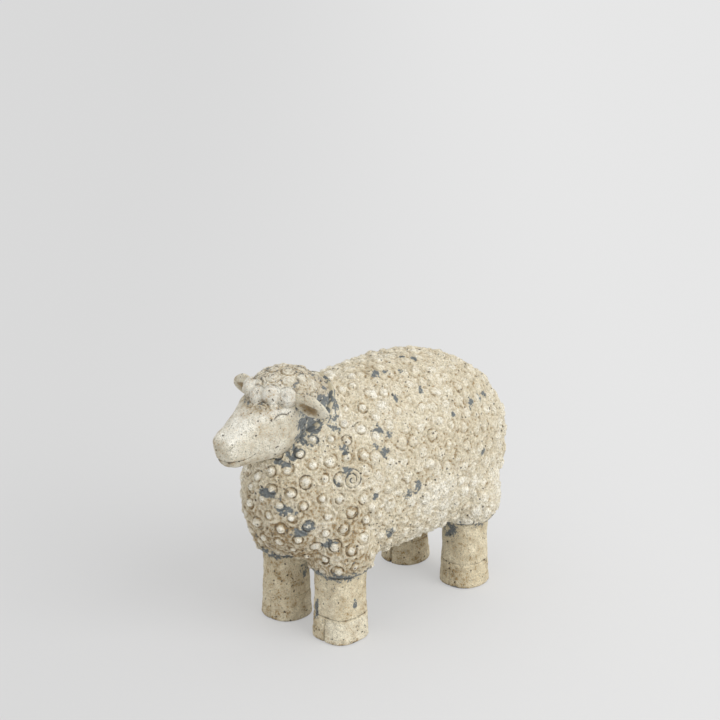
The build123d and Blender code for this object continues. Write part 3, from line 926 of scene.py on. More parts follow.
@dataclass
class FleeceBody:
    """The fleece body: barrel, leg sleeves and neck boss under one skin of curls."""

    middle_y: float = 0.0335
    half_length: float = 0.2288
    half_width: float = 0.1102
    middle_height: float = 0.218
    rise: float = 0.1440
    drop: float = 0.121
    front_powers: tuple[float, float, float] = (2.3, 2.35, 2.6)
    rear_powers: tuple[float, float, float] = (2.75, 2.2, 3.4)
    back_power: float = 2.11
    belly_power: float = 2.72
    sleeve_edge: float = 0.104
    sleeve_edge_radius: float = 0.040
    sleeve_radius: float = 0.050
    sleeve_bulge: float = 0.142
    sleeve_top: float = 0.205
    neck_joint: Point = (0.0, -0.111, 0.335)
    neck_radius: float = 0.050
    neck_root_radius: float = 0.064
    neck_length: float = 0.056
    spiral_place: Point = (0.091, -0.107, 0.250)
    spiral_radius: float = 0.0155
    spiral_turns: float = 2.3
    spiral_height: float = 0.0018
    neck_start: Span = (0.002, 0.008)
    neck_skirt: Span = (0.054, 0.062)
    wool_edge: Span = (0.1045, 0.110)
    crisp_end: Span = (-0.105, -0.045)
    crisp_wander: float = 0.02
    crisp_waves: float = 31.0
    crisp_lean: float = 0.25
    crisp_height: float = 0.24
    patch_fade: Span = (0.3, 1.9)
    back_height: float = 0.29
    worn_edge: Span = (0.106, 0.120)
    worn_reach: float = 0.06
    # Spans of the darker low chest and underside, stain with painted shade, and of the lower flank, lightened
    # with a painted highlight.
    chest_end: Span = (-0.16, -0.03)
    chest_top: Span = (0.15, 0.29)
    under_top: Span = (0.10, 0.17)
    flank_start: Span = (-0.04, 0.04)
    flank_top: Span = (0.17, 0.27)
    voxel: float = 0.00160
    style: CurlStyle = CurlStyle(0.0232, 0.0208, 0.0118, 0.0124, 0.0050, 0.0012, 0.52, 0.0020, 0.0085, 11)
    patches: tuple[BarePatch, ...] = (
        BarePatch(-0.050, 0.303, 0.009),
        BarePatch(-0.033, 0.296, 0.005),
        BarePatch(-0.061, 0.287, 0.005),
        BarePatch(-0.049, 0.275, 0.008),
        BarePatch(-0.183, 0.214, 0.008),
        BarePatch(-0.163, 0.192, 0.009),
        BarePatch(-0.171, 0.180, 0.006),
        BarePatch(-0.137, 0.161, 0.007),
        BarePatch(-0.194, 0.235, 0.006),
        BarePatch(-0.128, 0.249, 0.006),
        BarePatch(-0.074, 0.219, 0.006),
        BarePatch(-0.039, 0.154, 0.009),
        BarePatch(-0.049, 0.130, 0.005),
        BarePatch(0.004, 0.211, 0.009),
        BarePatch(-0.015, 0.205, 0.008),
        BarePatch(0.136, 0.293, 0.007),
        BarePatch(0.160, 0.292, 0.007),
        BarePatch(0.177, 0.291, 0.006),
        BarePatch(0.147, 0.220, 0.006),
        BarePatch(0.094, 0.291, 0.004),
        BarePatch(-0.106, 0.290, 0.006),
        BarePatch(-0.112, 0.263, 0.006),
        BarePatch(-0.097, 0.344, 0.011),
        BarePatch(-0.105, 0.332, 0.012),
        BarePatch(-0.108, 0.319, 0.008),
        BarePatch(-0.137, 0.307, 0.007),
        BarePatch(-0.147, 0.302, 0.006),
        BarePatch(-0.158, 0.294, 0.006),
        BarePatch(-0.167, 0.286, 0.005),
        BarePatch(-0.177, 0.277, 0.005),
        BarePatch(0.030, 0.004, 0.006, View.TOP),
        BarePatch(0.015, 0.075, 0.005, View.TOP),
        BarePatch(0.024, 0.088, 0.004, View.TOP),
        BarePatch(0.040, 0.044, 0.005, View.TOP),
        BarePatch(0.071, 0.051, 0.005, View.TOP),
        BarePatch(0.069, 0.004, 0.005, View.TOP),
        BarePatch(0.033, 0.020, 0.005, View.TOP),
        BarePatch(-0.045, 0.060, 0.007, View.TOP),
        BarePatch(-0.060, 0.140, 0.006, View.TOP),
    )

    def girth(self, share: np.ndarray, which: int) -> np.ndarray:
        """How full the barrel is along its length.

        Args:
            share: place from -1 at the chest to 1 at the rump.
            which: 0 for the width, 1 for the back, 2 for the belly.

        Returns:
            Shares of the full size.
        """
        exponent = np.where(share < 0, self.front_powers[which], self.rear_powers[which])
        return (1 - np.abs(share) ** exponent) ** (1 / exponent)

    def barrel(self) -> Mesh:
        """The barrel without its curls.

        Returns:
            The closed barrel.
        """
        turns = full_turn(144)
        along = -np.cos(np.linspace(0.02, math.pi - 0.02, 110))
        cos = np.cos(turns)
        sin = np.sin(turns)
        squareness = np.where(sin > 0, 2 / self.back_power, 2 / self.belly_power)
        rings = []
        for share in along:
            here = np.array(share)
            tall = np.where(sin > 0, self.rise * self.girth(here, 1), self.drop * self.girth(here, 2))
            x = self.half_width * self.girth(here, 0) * power(cos, squareness)
            z = self.middle_height + tall * power(sin, squareness)
            y = np.full_like(x, self.middle_y + share * self.half_length)
            rings.append(np.stack((x, y, z), axis=1))
        return tube(np.array(rings))

    def sleeve(self, x: float, y: float) -> Mesh:
        """The fleece that hangs round the top of one leg.

        Args:
            x: place of the leg.
            y: place of the leg.

        Returns:
            The closed sleeve.
        """
        turns = full_turn(64)
        heights = np.concatenate(
            (
                np.linspace(self.sleeve_edge, self.sleeve_bulge, 12),
                self.sleeve_bulge
                + (self.sleeve_top - self.sleeve_bulge) * np.sin(np.linspace(0.1, 1.5, 14)),
            )
        )
        under = (self.sleeve_bulge - heights) / (self.sleeve_bulge - self.sleeve_edge)
        over = (heights - self.sleeve_bulge) / (self.sleeve_top - self.sleeve_bulge)
        spread = self.sleeve_radius - self.sleeve_edge_radius
        radii = np.where(
            under > 0,
            self.sleeve_radius - spread * under**2,
            self.sleeve_radius * np.sqrt(np.clip(1 - over**2, 0, 1)),
        )
        rings = [
            np.stack((x + r * np.cos(turns), y + r * np.sin(turns), np.full_like(turns, z)), axis=1)
            for z, r in zip(heights, radii)
        ]
        return tube(np.array(rings))

    def boss(self) -> Mesh:
        """The plug of the body behind the neck joint."""
        radii = (self.neck_radius, self.neck_root_radius)
        return neck_cone(self.neck_joint, radii, -self.neck_length, 10, 96)

    def make(self, curls: CurlTree, finish: bpy.types.Material, legs: Mapping[Corner, "Leg"]) -> None:
        """Builds both halves of the fleece.

        Args:
            curls: the tree that raises the curls.
            finish: the material.
            legs: the legs, for the places of the sleeves.
        """
        mesh = self.barrel()
        for leg in legs.values():
            mesh = mesh.joined(self.sleeve(leg.x, leg.y))
        mesh = mesh.joined(self.boss())
        whole = build("fleece", mesh)
        merge(whole, self.voxel, 7)
        points = coordinates(whole)
        self.keep_masks(whole, points, legs)
        curls.apply(whole, self.style, finish)
        for side in Side:
            name = f"fleece_{side.name.lower()}"
            half = self.half(whole, side, name)
            declare(half, Slot.FLEECE, f"body_shell_{side.name.lower()}")
        bpy.data.objects.remove(whole)

    def keep_masks(
        self, whole: bpy.types.Object, points: np.ndarray, legs: Mapping[Corner, "Leg"]
    ) -> None:
        """Keeps where the wool grows, where its curls are crisp and where the wash is worn, and where it is
        darkened by stain and painted shade or lightened by a painted highlight.

        Args:
            whole: the whole fleece.
            points: its points.
            legs: the legs, for the worn edge round them.
        """
        _, y, z = points.T
        ahead = (points - np.array(self.neck_joint)) @ NECK_OUT
        axis = np.array(self.neck_joint) + ahead[:, None] * NECK_OUT
        aside = np.linalg.norm(points - axis, axis=1)
        neck = ramp(-ahead, *self.neck_start) + ramp(aside, *self.neck_skirt)
        wool = np.clip(neck, 0.0, 1.0) * ramp(z, *self.wool_edge)
        spiral, coil = self.spiral(whole, points)
        store(whole, "wool", wool * (1.0 - spiral))
        wander = self.crisp_wander * np.sin(z * self.crisp_waves)
        lean = self.crisp_lean * (self.crisp_height - z)
        store(whole, "crisp", 1.0 - ramp(y + wander + lean, *self.crisp_end))
        bare = np.maximum(self.worn(points, legs), 0.75 * (1.0 - ramp(wool, 0.1, 0.7)))
        store(whole, "bare", np.maximum(bare, 0.68 * spiral * ramp(-coil, 0.1, 0.8)))
        # The low chest and underside are darkened, partly brown stain and partly painted shade on faces
        # turned from the light; the lower flank, which faces the light, gets a painted highlight.
        low_front = (1.0 - ramp(y, *self.chest_end)) * (1.0 - ramp(z, *self.chest_top))
        under = 1.0 - ramp(z, *self.under_top)
        low_flank = ramp(y, *self.flank_start) * (1.0 - ramp(z, *self.flank_top))
        store(whole, "grime", 1.15 * low_front + 0.2 * under - 0.35 * low_flank)
        store(whole, "tip", 0.2 * low_flank)
        # Painted shade in the grooves of the shoulder curl.
        store(whole, "crease", 0.6 * spiral * ramp(-coil, 0.35, 1.0))

    def worn(self, points: np.ndarray, legs: Mapping[Corner, "Leg"]) -> np.ndarray:
        """Where the wash is worn off, in spots and round the legs.

        Args:
            points: points of the fleece.
            legs: the legs.

        Returns:
            The wear at each point.
        """
        x, y, z = points.T
        bare = np.zeros(len(points))
        shown = {View.SIDE: x > 0, View.TOP: z > self.back_height}
        for patch in self.patches:
            first, second = patch.view.value
            gap = np.hypot(points[:, first] - patch.across, points[:, second] - patch.along)
            spot = 0.74 * (1.0 - ramp(gap / patch.radius, *self.patch_fade))
            bare = np.maximum(bare, np.where(shown[patch.view], spot, 0.0))
        edge = 0.5 * (1.0 - ramp(z, *self.worn_edge))
        for leg in legs.values():
            gap = np.hypot(x - leg.x, y - leg.y)
            bare = np.maximum(bare, edge * (gap < self.worn_reach))
        return bare

    def spiral(self, whole: bpy.types.Object, points: np.ndarray) -> tuple[np.ndarray, np.ndarray]:
        """Raises the large flat curl on the left shoulder.

        Args:
            whole: the whole fleece.
            points: its points.

        Returns:
            The share of the curl at each point, and its coil from -1 in a groove to 1 on a ridge.
        """
        out = normals(whole)
        away = points - np.array(self.spiral_place)
        nearest = int(np.argmin(np.linalg.norm(away, axis=1)))
        away = points - points[nearest]
        across = np.cross(out[nearest], (0.0, 0.0, 1.0))
        across = across / np.linalg.norm(across)
        along = np.cross(out[nearest], across)
        u = away @ across / self.spiral_radius
        v = away @ along / self.spiral_radius
        reach = np.hypot(u, v)
        coil = np.cos(2.0 * math.pi * self.spiral_turns * reach - np.arctan2(v, u))
        near = np.abs(away @ out[nearest]) < 2.0 * self.spiral_radius
        share = (1.0 - ramp(reach, 0.85, 1.15)) * near
        move(whole, points + out * (share * self.spiral_height * (1.0 + coil))[:, None])
        return share, coil

    @staticmethod
    def half(whole: bpy.types.Object, side: Side, name: str) -> bpy.types.Object:
        """Cuts one half off the fleece along the middle plane and closes it.

        Args:
            whole: the whole fleece.
            side: the half to keep.
            name: its name.

        Returns:
            The half as an object.
        """
        data = whole.data.copy()
        data.name = name
        made = bmesh.new()
        made.from_mesh(data)
        everything = list(made.verts) + list(made.edges) + list(made.faces)
        cut = bmesh.ops.bisect_plane(
            made, geom=everything, plane_co=(0, 0, 0), plane_no=(-side.value, 0, 0), clear_outer=True
        )
        rim = [each for each in cut["geom_cut"] if isinstance(each, bmesh.types.BMEdge)]
        caps = bmesh.ops.holes_fill(made, edges=rim)["faces"]
        for cap in caps:
            cap.smooth = False
            for edge in cap.edges:
                edge.smooth = False
        bmesh.ops.triangulate(made, faces=caps)
        made.to_mesh(data)
        made.free()
        half = bpy.data.objects.new(name, data)
        bpy.context.scene.collection.objects.link(half)
        return half


@dataclass
class Leg:
    """A rounded square leg with a hoof line and a cleft."""

    corner: Corner
    x: float
    y: float
    half_width: float = 0.033
    height: float = 0.101
    squareness: float = 3.1
    hoof_height: float = 0.038
    hoof_line: float = 0.0008
    foot_flare: float = 0.0020
    foot_round: float = 0.004
    waist: float = 0.0014
    cleft_half: float = 0.0016
    cleft_depth: float = 0.0042
    # Darkness of the hoof line, painted shade in its groove.
    line_tone: float = 0.45
    lump: float = 0.0011
    # Extra darkening of the whole leg, brown stain with painted shade, and the strength of the painted
    # highlight on the hoof.
    age: float = 0.0
    hoof_chalk: float = 0.7
    strips: tuple[tuple[Point, Point, float], ...] = ()
    line_half: float = 0.0016
    line_dark_half: float = 0.0010
    skin_margin: float = 0.004
    lump_scale: float = 70.0
    fine_lump_scale: float = 260.0
    fine_lump_share: float = 0.45
    cleft_reach: float = 0.02
    cleft_fade: Span = (0.008, 0.001)
    # Spans of the darker band at the foot, the thin painted shadow along the bottom edge, the painted
    # highlight on the hoof's lit side and the painted shade at the top under the fleece.
    foot_stain: Span = (0.001, 0.007)
    sole_edge: Span = (0.0006, 0.0022)
    sole_facing: Span = (0.75, 0.95)
    hoof_fade: float = 0.006
    chalk_sides: Span = (-0.02, 0.02)
    top_fade: Span = (0.014, 0.002)
    strip_fade: Span = (0.4, 1.4)
    around: int = 168
    along: int = 92

    def radius(self, z: float) -> float:
        """Half the width of the leg at a height.

        Args:
            z: the height.

        Returns:
            The half width.
        """
        foot = max(0.0, 1.0 - z / self.foot_round)
        inset = self.foot_round * (1.0 - math.sqrt(max(0.0, 1.0 - foot * foot)))
        shank = (z - self.hoof_height) / (self.height - self.hoof_height)
        middle = math.sin(math.pi * min(1.0, max(0.0, shank)))
        flare = self.foot_flare * max(0.0, 1.0 - z / self.hoof_height)
        line = self.hoof_line * math.exp(-(((z - self.hoof_height) / self.line_half) ** 2))
        return self.half_width - inset - self.waist * middle + flare - line

    def make(self, finish: bpy.types.Material) -> None:
        """Builds the leg.

        Args:
            finish: the material.
        """
        turns = full_turn(self.around)
        cos = np.cos(turns)
        sin = np.sin(turns)
        square = np.abs(cos) ** self.squareness + np.abs(sin) ** self.squareness
        shape = 1.0 / square ** (1 / self.squareness)
        rings = []
        for z in np.linspace(0.0, self.height, self.along):
            reach = self.radius(z) * shape
            rings.append(np.stack((self.x + reach * cos, self.y + reach * sin, np.full_like(cos, z)), axis=1))
        name = f"leg_{self.corner.value}_wash"
        piece = build(name, tube(np.array(rings)))
        self.weather(piece)
        paint(piece, finish)
        declare(piece, Slot.LEG, f"leg_{self.corner.value}")

    def weather(self, piece: bpy.types.Object) -> None:
        """Presses the cleft and the lumps of the casting into the leg and keeps what the finish reads.

        Args:
            piece: the leg.
        """
        points = coordinates(piece)
        out = normals(piece)
        flat = points - np.array((self.x, self.y, 0.0))
        z = points[:, 2]
        hoof_top = self.hoof_height
        deep = self.cleft_depth / Leg.cleft_depth
        skin = ramp(z, 0.0, self.skin_margin) * (1.0 - ramp(z, self.height - self.skin_margin, self.height))
        rough = lumps(points, self.lump_scale, 3.0) * self.lump
        rough = rough + lumps(points, self.fine_lump_scale, 9.0) * self.lump * self.fine_lump_share
        front = (flat[:, 1] < 0) & (np.hypot(flat[:, 0], flat[:, 1]) > self.cleft_reach)
        low = 1.0 - ramp(z, hoof_top - self.cleft_fade[0], hoof_top - self.cleft_fade[1])
        cleft = mound(flat[:, 0], self.cleft_half) * front * low
        moved = points + out * (rough * skin)[:, None]
        moved[:, 1] += cleft * self.cleft_depth
        moved[:, 2] = np.maximum(moved[:, 2], 0.0)
        move(piece, moved)
        # Painted shade in the hoof line and the cleft, and a thin painted shadow along the bottom edge where
        # the foot meets the floor.
        line = mound(z - hoof_top, self.line_dark_half)
        foot = 1.0 - ramp(z, *self.foot_stain)
        flat_sole = ramp(-out[:, 2], *self.sole_facing)
        sole = (1.0 - ramp(z, *self.sole_edge)) * (1.0 - flat_sole)
        thin = mound(flat[:, 0], self.line_dark_half) * front * low
        store(piece, "crease", np.clip(0.8 * deep * thin + self.line_tone * line + 0.6 * sole, 0.0, 1.0))
        # Brown stain and painted shade in the hoof line and in the low places of the lumps.
        store(piece, "hollow", np.clip(line * 0.6 - rough / self.lump * 0.35, -1.0, 1.0))
        # A painted highlight on the hoof, on the side turned to the light.
        hoof = 1.0 - ramp(z, hoof_top - self.hoof_fade, hoof_top)
        store(piece, "tip", self.hoof_chalk * hoof * ramp(flat[:, 0], *self.chalk_sides))
        top = ramp(z, self.height - self.top_fade[0], self.height - self.top_fade[1])
        worn = 0.30 * foot + 0.5 * top + 0.6 * flat_sole
        for place, size, share in self.strips:
            gap = np.linalg.norm((flat - np.array(place)) / np.array(size), axis=1)
            worn = np.maximum(worn, share * (1.0 - ramp(gap, *self.strip_fade)))
        store(piece, "bare", np.clip(worn, 0.0, 1.0))
        # Darker towards the foot, painted shade at the top under the fleece, and each leg's extra darkening,
        # brown stain with painted shade on the legs standing in shade.
        store(piece, "grime", foot + 0.5 * top + self.age)


@dataclass(frozen=True)
class Swelling:
    """A soft rise by the eye: its place from the eye, half sizes and height."""

    along: float
    above: float
    half_length: float
    half_height: float
    height: float

    def rise(self, along: np.ndarray, above: np.ndarray) -> np.ndarray:
        """The rise at places measured from the eye."""
        length = mound(along - self.along, self.half_length)
        return self.height * length * mound(above - self.above, self.half_height)


@dataclass
class Head:
    """Head: smooth face, closed eyelids, nostrils, mouth line and woolly cap."""

    poll: Point = (0.0, -0.135, 0.340)
    pitch: float = 9.0
    length: float = 0.134
    width: float = 0.084
    depth: float = 0.084
    shares: tuple[tuple[float, float, float, float], ...] = (
        (0.00, 0.94, 0.46, 0.44),
        (0.20, 1.00, 0.47, 0.55),
        (0.38, 0.98, 0.46, 0.60),
        (0.58, 0.78, 0.34, 0.55),
        (0.77, 0.575, 0.225, 0.49),
        (0.90, 0.48, 0.155, 0.42),
        (0.975, 0.34, 0.075, 0.30),
        (1.00, 0.18, 0.01, 0.16),
    )
    squareness: float = 2.4
    cap_middle: Point = (0.0, -0.145, 0.3675)
    cap_size: Point = (0.0455, 0.0525, 0.0305)
    knob_radius: float = 0.0120
    knob_stand: float = 0.0075
    knob_turn: float = 28.0
    knob_tilt: float = 8.0
    neck_joint: Point = (0.0, -0.1145, 0.3385)
    stump_radius: float = 0.047
    stump_tip_radius: float = 0.030
    stump_length: float = 0.044
    eye: Point = (0.038, -0.188, 0.347)
    eye_sides: Span = (0.020, 0.030)
    eyeball: Swelling = Swelling(0.0, 0.0, 0.010, 0.007, 0.0030)
    brow: Swelling = Swelling(0.002, 0.0115, 0.013, 0.005, 0.0026)
    # A painted highlight on each brow pad.
    brow_chalk: Swelling = Swelling(0.008, 0.0105, 0.010, 0.0055, 0.7)
    lid_top: float = 0.0062
    lid_front_drop: float = 0.0085
    lid_front_length: float = 0.014
    lid_rear_drop: float = 0.0030
    lid_rear_length: float = 0.011
    lid_half: float = 0.0012
    lid_ends: Span = (0.009, 0.0135)
    lid_depth: float = 0.0014
    bag_drop: float = 0.0055
    bag_slope: float = 0.25
    bag_half: float = 0.0011
    bag_length: float = 0.008
    bag_depth: float = 0.0005
    nostril_y: float = -0.261
    nostril_z: float = 0.319
    nostril_slope: float = 0.9
    nostril_bend: float = 40.0
    nostril_half: float = 0.0013
    nostril_reach: float = 0.0036
    nostril_sides: Span = (0.008, 0.011)
    nostril_depth: float = 0.0016
    mouth_height: float = 0.2975
    mouth_rise: float = 0.0085
    mouth_corner: Span = (-0.236, -0.216)
    mouth_half: float = 0.0012
    mouth_end: Span = (-0.226, -0.214)
    mouth_depth: float = 0.0013
    lump: float = 0.0007
    lump_scale: float = 60.0
    holes: tuple[Point, ...] = (
        (0.024, -0.165, 0.395), (0.037, -0.179, 0.377), (0.020, -0.194, 0.379), (-0.012, -0.192, 0.374),
        (-0.030, -0.150, 0.394),
    )
    hole_half: float = 0.0030
    hole_depth: float = 0.0030
    knob_edge_shares: Span = (1.02, 1.30)
    knob_step: float = 0.004
    cap_edge_shares: Span = (1.25, 1.45)
    cap_bottom: Span = (0.356, 0.362)
    rear_start: Span = (-0.176, -0.152)
    jaw_top: Span = (0.284, 0.304)
    chin_end: Span = (-0.262, -0.236)
    chin_top: Span = (0.296, 0.310)
    brow_bottom: Span = (0.345, 0.362)
    voxel: float = 0.00095
    style: CurlStyle = CurlStyle(0.0185, 0.0185, 0.0125, 0.0125, 0.0040, 0.0010, 0.53, 0.0012, 0.0050, 5)

    def face(self) -> Mesh:
        """The face from the back of the skull to the nose.

        Returns:
            The closed face.
        """
        turns = full_turn(96)
        pitch = math.radians(self.pitch)
        out = np.array((0.0, -math.cos(pitch), -math.sin(pitch)))
        up = np.array((0.0, -math.sin(pitch), math.cos(pitch)))
        places = np.concatenate((np.linspace(0.0, 0.9, 60), np.linspace(0.91, 1.0, 14)))
        rings = []
        for place, (wide, rise, drop) in zip(places, follow(self.shares, places)):
            x = wide * self.width / 2 * power(np.cos(turns), 2 / self.squareness)
            tall = np.where(np.sin(turns) > 0, rise, drop) * self.depth
            z = tall * power(np.sin(turns), 2 / self.squareness)
            middle = np.array(self.poll) + out * self.length * place
            rings.append(middle + np.outer(x, SIDEWAYS) + np.outer(z, up))
        return tube(np.array(rings))

    def stump(self) -> Mesh:
        """The back of the head that meets the mortar of the neck."""
        radii = (self.stump_radius, self.stump_tip_radius)
        return neck_cone(self.neck_joint, radii, self.stump_length, 8, 72)

    @staticmethod
    def ball(middle: Point, size: Point) -> Mesh:
        """An egg shape.

        Args:
            middle: its middle.
            size: its three half sizes.

        Returns:
            The closed egg.
        """
        turns = full_turn(48)
        rings = []
        for tilt in np.linspace(-1.5, 1.5, 24):
            rings.append(
                np.stack(
                    (
                        middle[0] + size[0] * math.cos(tilt) * np.cos(turns),
                        middle[1] + size[1] * math.cos(tilt) * np.sin(turns),
                        np.full_like(turns, middle[2] + size[2] * math.sin(tilt)),
                    ),
                    axis=1,
                )
            )
        return tube(np.array(rings))

    def knob_middles(self) -> np.ndarray:
        """The middles of the big curls that hang over the forehead.

        Returns:
            One row for each curl.
        """
        level = math.radians(self.knob_tilt)
        depth = self.knob_radius - self.knob_stand
        turns = np.radians(np.arange(-2, 3) * self.knob_turn)
        across = (self.cap_size[0] - depth) * math.cos(level) * np.sin(turns)
        ahead = self.cap_middle[1] - (self.cap_size[1] - depth) * math.cos(level) * np.cos(turns)
        height = self.cap_middle[2] + self.cap_size[2] * math.sin(level) + self.knob_step * (np.arange(5) % 2)
        return np.stack((across, ahead, height), axis=1)

    def make(self, curls: CurlTree, finish: bpy.types.Material) -> None:
        """Builds the head.

        Args:
            curls: the tree that raises the curls of the cap.
            finish: the material.
        """
        mesh = self.face().joined(self.stump()).joined(self.ball(self.cap_middle, self.cap_size))
        for middle in self.knob_middles():
            mesh = mesh.joined(self.ball(tuple(middle), (self.knob_radius,) * 3))
        piece = build("head_wash", mesh)
        merge(piece, self.voxel, 6)
        points = coordinates(piece)
        capped = self.cap_share(points)
        gap = np.min([np.linalg.norm(points - middle, axis=1) for middle in self.knob_middles()], axis=0)
        on_knob = 1.0 - ramp(gap / self.knob_radius, *self.knob_edge_shares)
        self.sculpt(piece, points, capped, on_knob)
        store(piece, "wool", capped * (1.0 - 0.5 * on_knob))
        store(piece, "crisp", np.zeros(len(points)))
        _, y, z = points.T
        # Darker at the back of the head, under the jaw and chin, on the cap and above the brow: grey bare
        # wash and brown stain, with painted shade under the jaw and along the cap's edge.
        rear = ramp(y, *self.rear_start) * (1.0 - capped)
        chin = (1.0 - ramp(y, *self.chin_end)) * (1.0 - ramp(z, *self.chin_top))
        low = 1.0 - ramp(z, *self.jaw_top) + 0.9 * chin
        bare = 0.72 * rear + 0.20 * low + 0.36 * capped * (1.0 - 0.6 * on_knob)
        store(piece, "bare", np.clip(bare, 0.0, 1.0))
        brow = ramp(z, *self.brow_bottom) * (1.0 - capped)
        store(piece, "grime", np.clip(0.7 * rear + 0.6 * low + 0.75 * capped + 0.6 * brow, 0.0, 1.0))
        curls.apply(piece, self.style, finish)
        declare(piece, Slot.FACE, "head")

    def cap_share(self, points: np.ndarray) -> np.ndarray:
        """Where the cap's wool grows.

        Args:
            points: points of the head.

        Returns:
            Shares from 0 on the face to 1.
        """
        shares = (points - np.array(self.cap_middle)) / np.array(self.cap_size)
        inside = 1.0 - ramp(np.linalg.norm(shares, axis=1), *self.cap_edge_shares)
        return inside * ramp(points[:, 2], *self.cap_bottom)

    def eyelids(self, along: np.ndarray, above: np.ndarray) -> tuple[np.ndarray, np.ndarray]:
        """The lines of a closed eye.

        Args:
            along: places from the eye along the face, less than zero toward the nose.
            above: places over the eye.

        Returns:
            Shares of the lid line and of the line under the eye.
        """
        front = self.lid_front_drop * (along / self.lid_front_length) ** 2
        rear = self.lid_rear_drop * (along / self.lid_rear_length) ** 2
        arch = self.lid_top - np.where(along < 0, front, rear)
        lid = mound(above - arch, self.lid_half) * (1.0 - ramp(np.abs(along), *self.lid_ends))
        bag = mound(above + self.bag_drop - self.bag_slope * along, self.bag_half)
        return lid, bag * (np.abs(along) < self.bag_length)

    def nostrils(self, x: np.ndarray, y: np.ndarray, z: np.ndarray) -> np.ndarray:
        """The two slits of the nose.

        Args:
            x: places across the head, both sides alike.
            y: places along it.
            z: heights.

        Returns:
            Shares of the slits.
        """
        above = z - self.nostril_z
        off = y - self.nostril_y - self.nostril_slope * above - self.nostril_bend * above**2
        slit = mound(off, self.nostril_half) * np.exp(-((above / self.nostril_reach) ** 4))
        return slit * ramp(x, *self.nostril_sides)

    def sculpt(
        self, piece: bpy.types.Object, points: np.ndarray, capped: np.ndarray, on_knob: np.ndarray
    ) -> None:
        """Models the eyelids, brows, nostrils and mouth, with painted shade in their creases, round the cap's
        big curls and in its holes, and painted highlights on upward faces, brow pads and big curls.

        Args:
            piece: the head.
            points: its points.
            capped: share of the cap at each point.
            on_knob: share of the big curls of the cap at each point.
        """
        out = normals(piece)
        x = np.abs(points[:, 0])
        y = points[:, 1]
        z = points[:, 2]
        along = y - self.eye[1]
        above = z - self.eye[2]
        outer = ramp(x, *self.eye_sides)
        lid, bag = self.eyelids(along, above)
        nostril = self.nostrils(x, y, z)
        mouth_z = self.mouth_height + self.mouth_rise * ramp(y, *self.mouth_corner)
        mouth = mound(z - mouth_z, self.mouth_half) * (1.0 - ramp(y, *self.mouth_end))
        height = outer * (self.eyeball.rise(along, above) + self.brow.rise(along, above))
        height -= outer * (self.lid_depth * lid + self.bag_depth * bag)
        height -= self.nostril_depth * nostril + self.mouth_depth * mouth
        height += self.lump * lumps(points, self.lump_scale, 4.0)
        height *= 1.0 - capped
        # Painted shade in the lid, nostril and mouth creases and round the edges of the cap's big curls.
        crease = np.max((0.85 * lid * outer, 0.65 * nostril, 0.65 * mouth), axis=0) * (1.0 - capped)
        crease = np.maximum(crease, 2.1 * on_knob * (1.0 - on_knob))
        # A painted highlight on faces turned up, on the brow pads and on the cap's big curls.
        chalk = 0.6 * ramp(out[:, 2], 0.1, 0.8) + outer * self.brow_chalk.rise(along, above)
        store(piece, "tip", chalk * (1.0 - capped) + 0.8 * on_knob)
        # Holes in the cap, dented and darkened with painted shade.
        for hole in self.holes:
            pit = mound(np.linalg.norm(points - np.array(hole), axis=1), self.hole_half)
            height -= self.hole_depth * pit
            crease = np.maximum(crease, 0.95 * pit)
        move(piece, points + out * height[:, None])
        store(piece, "crease", crease)


@dataclass
class Ear:
    """A leaf-shaped ear, hollowed in front."""

    side: Side
    root: Point = (0.038, -0.162, 0.368)
    length: float = 0.055
    width: float = 0.032
    thickness: float = 0.014
    droop: float = 13.0
    sweep: float = 12.0
    roll: float = 12.0
    shares: tuple[tuple[float, float], ...] = (
        (0.00, 0.60), (0.18, 0.80), (0.42, 1.00), (0.68, 0.82), (0.88, 0.50), (1.00, 0.16),
    )
    hollow_depth: float = 0.0062
    hollow_shift_share: float = 0.24
    hollow_half_share: float = 0.62
    hollow_start_shares: Span = (0.10, 0.34)
    hollow_end_shares: Span = (0.55, 0.86)
    lump: float = 0.0006
    lump_scale: float = 90.0

    def make(self, finish: bpy.types.Material) -> None:
        """Builds the ear.

        Args:
            finish: the material.
        """
        droop = math.radians(self.droop)
        sweep = math.radians(self.sweep)
        roll = math.radians(self.roll)
        level_reach = math.cos(droop)
        out = np.array((level_reach * math.cos(sweep), level_reach * math.sin(sweep), -math.sin(droop)))
        level = np.array((math.sin(sweep), -math.cos(sweep), 0.0))
        down = np.cross(out, level)
        ahead = level * math.cos(roll) + down * math.sin(roll)
        up = np.cross(ahead, out)
        turns = full_turn(96)
        places = np.linspace(0.0, 1.0, 64)
        across = np.cos(turns)
        bowl = 1.0 - ((across + self.hollow_shift_share) / self.hollow_half_share) ** 2
        bowl = np.clip(bowl, 0.0, 1.0) ** 0.7 * (np.sin(turns) > 0)
        reach = ramp(places, *self.hollow_start_shares) * (1.0 - ramp(places, *self.hollow_end_shares))
        rings = []
        for place, deep, (wide,) in zip(places, reach, follow(self.shares, places)):
            thick = self.thickness / 2 * wide * np.sin(turns) - self.hollow_depth * deep * bowl
            middle = np.array(self.root) + out * self.length * place
            rings.append(middle + np.outer(across * wide * self.width / 2, up) + np.outer(thick, ahead))
        skin = np.array(rings)
        hollow = reach[:, None] * bowl[None, :]
        skin[:, :, 0] *= self.side.value
        piece = build(f"ear_{self.side.name.lower()}_wash", tube(skin))
        points = coordinates(piece)
        values = np.concatenate((hollow.ravel(), (0.0, 0.0)))
        rough = lumps(points, self.lump_scale, 6.0)
        move(piece, points + normals(piece) * (rough * self.lump)[:, None])
        # The ear's hollow is darkened with brown stain and painted shade.
        store(piece, "hollow", values)
        store(piece, "grime", values * 1.6)
        store(piece, "crease", values * 0.34)
        store(piece, "bare", 0.3 * ramp(rough, 0.2, 0.6))
        paint(piece, finish)
        declare(piece, Slot.FACE, f"ear_{self.side.name.lower()}")


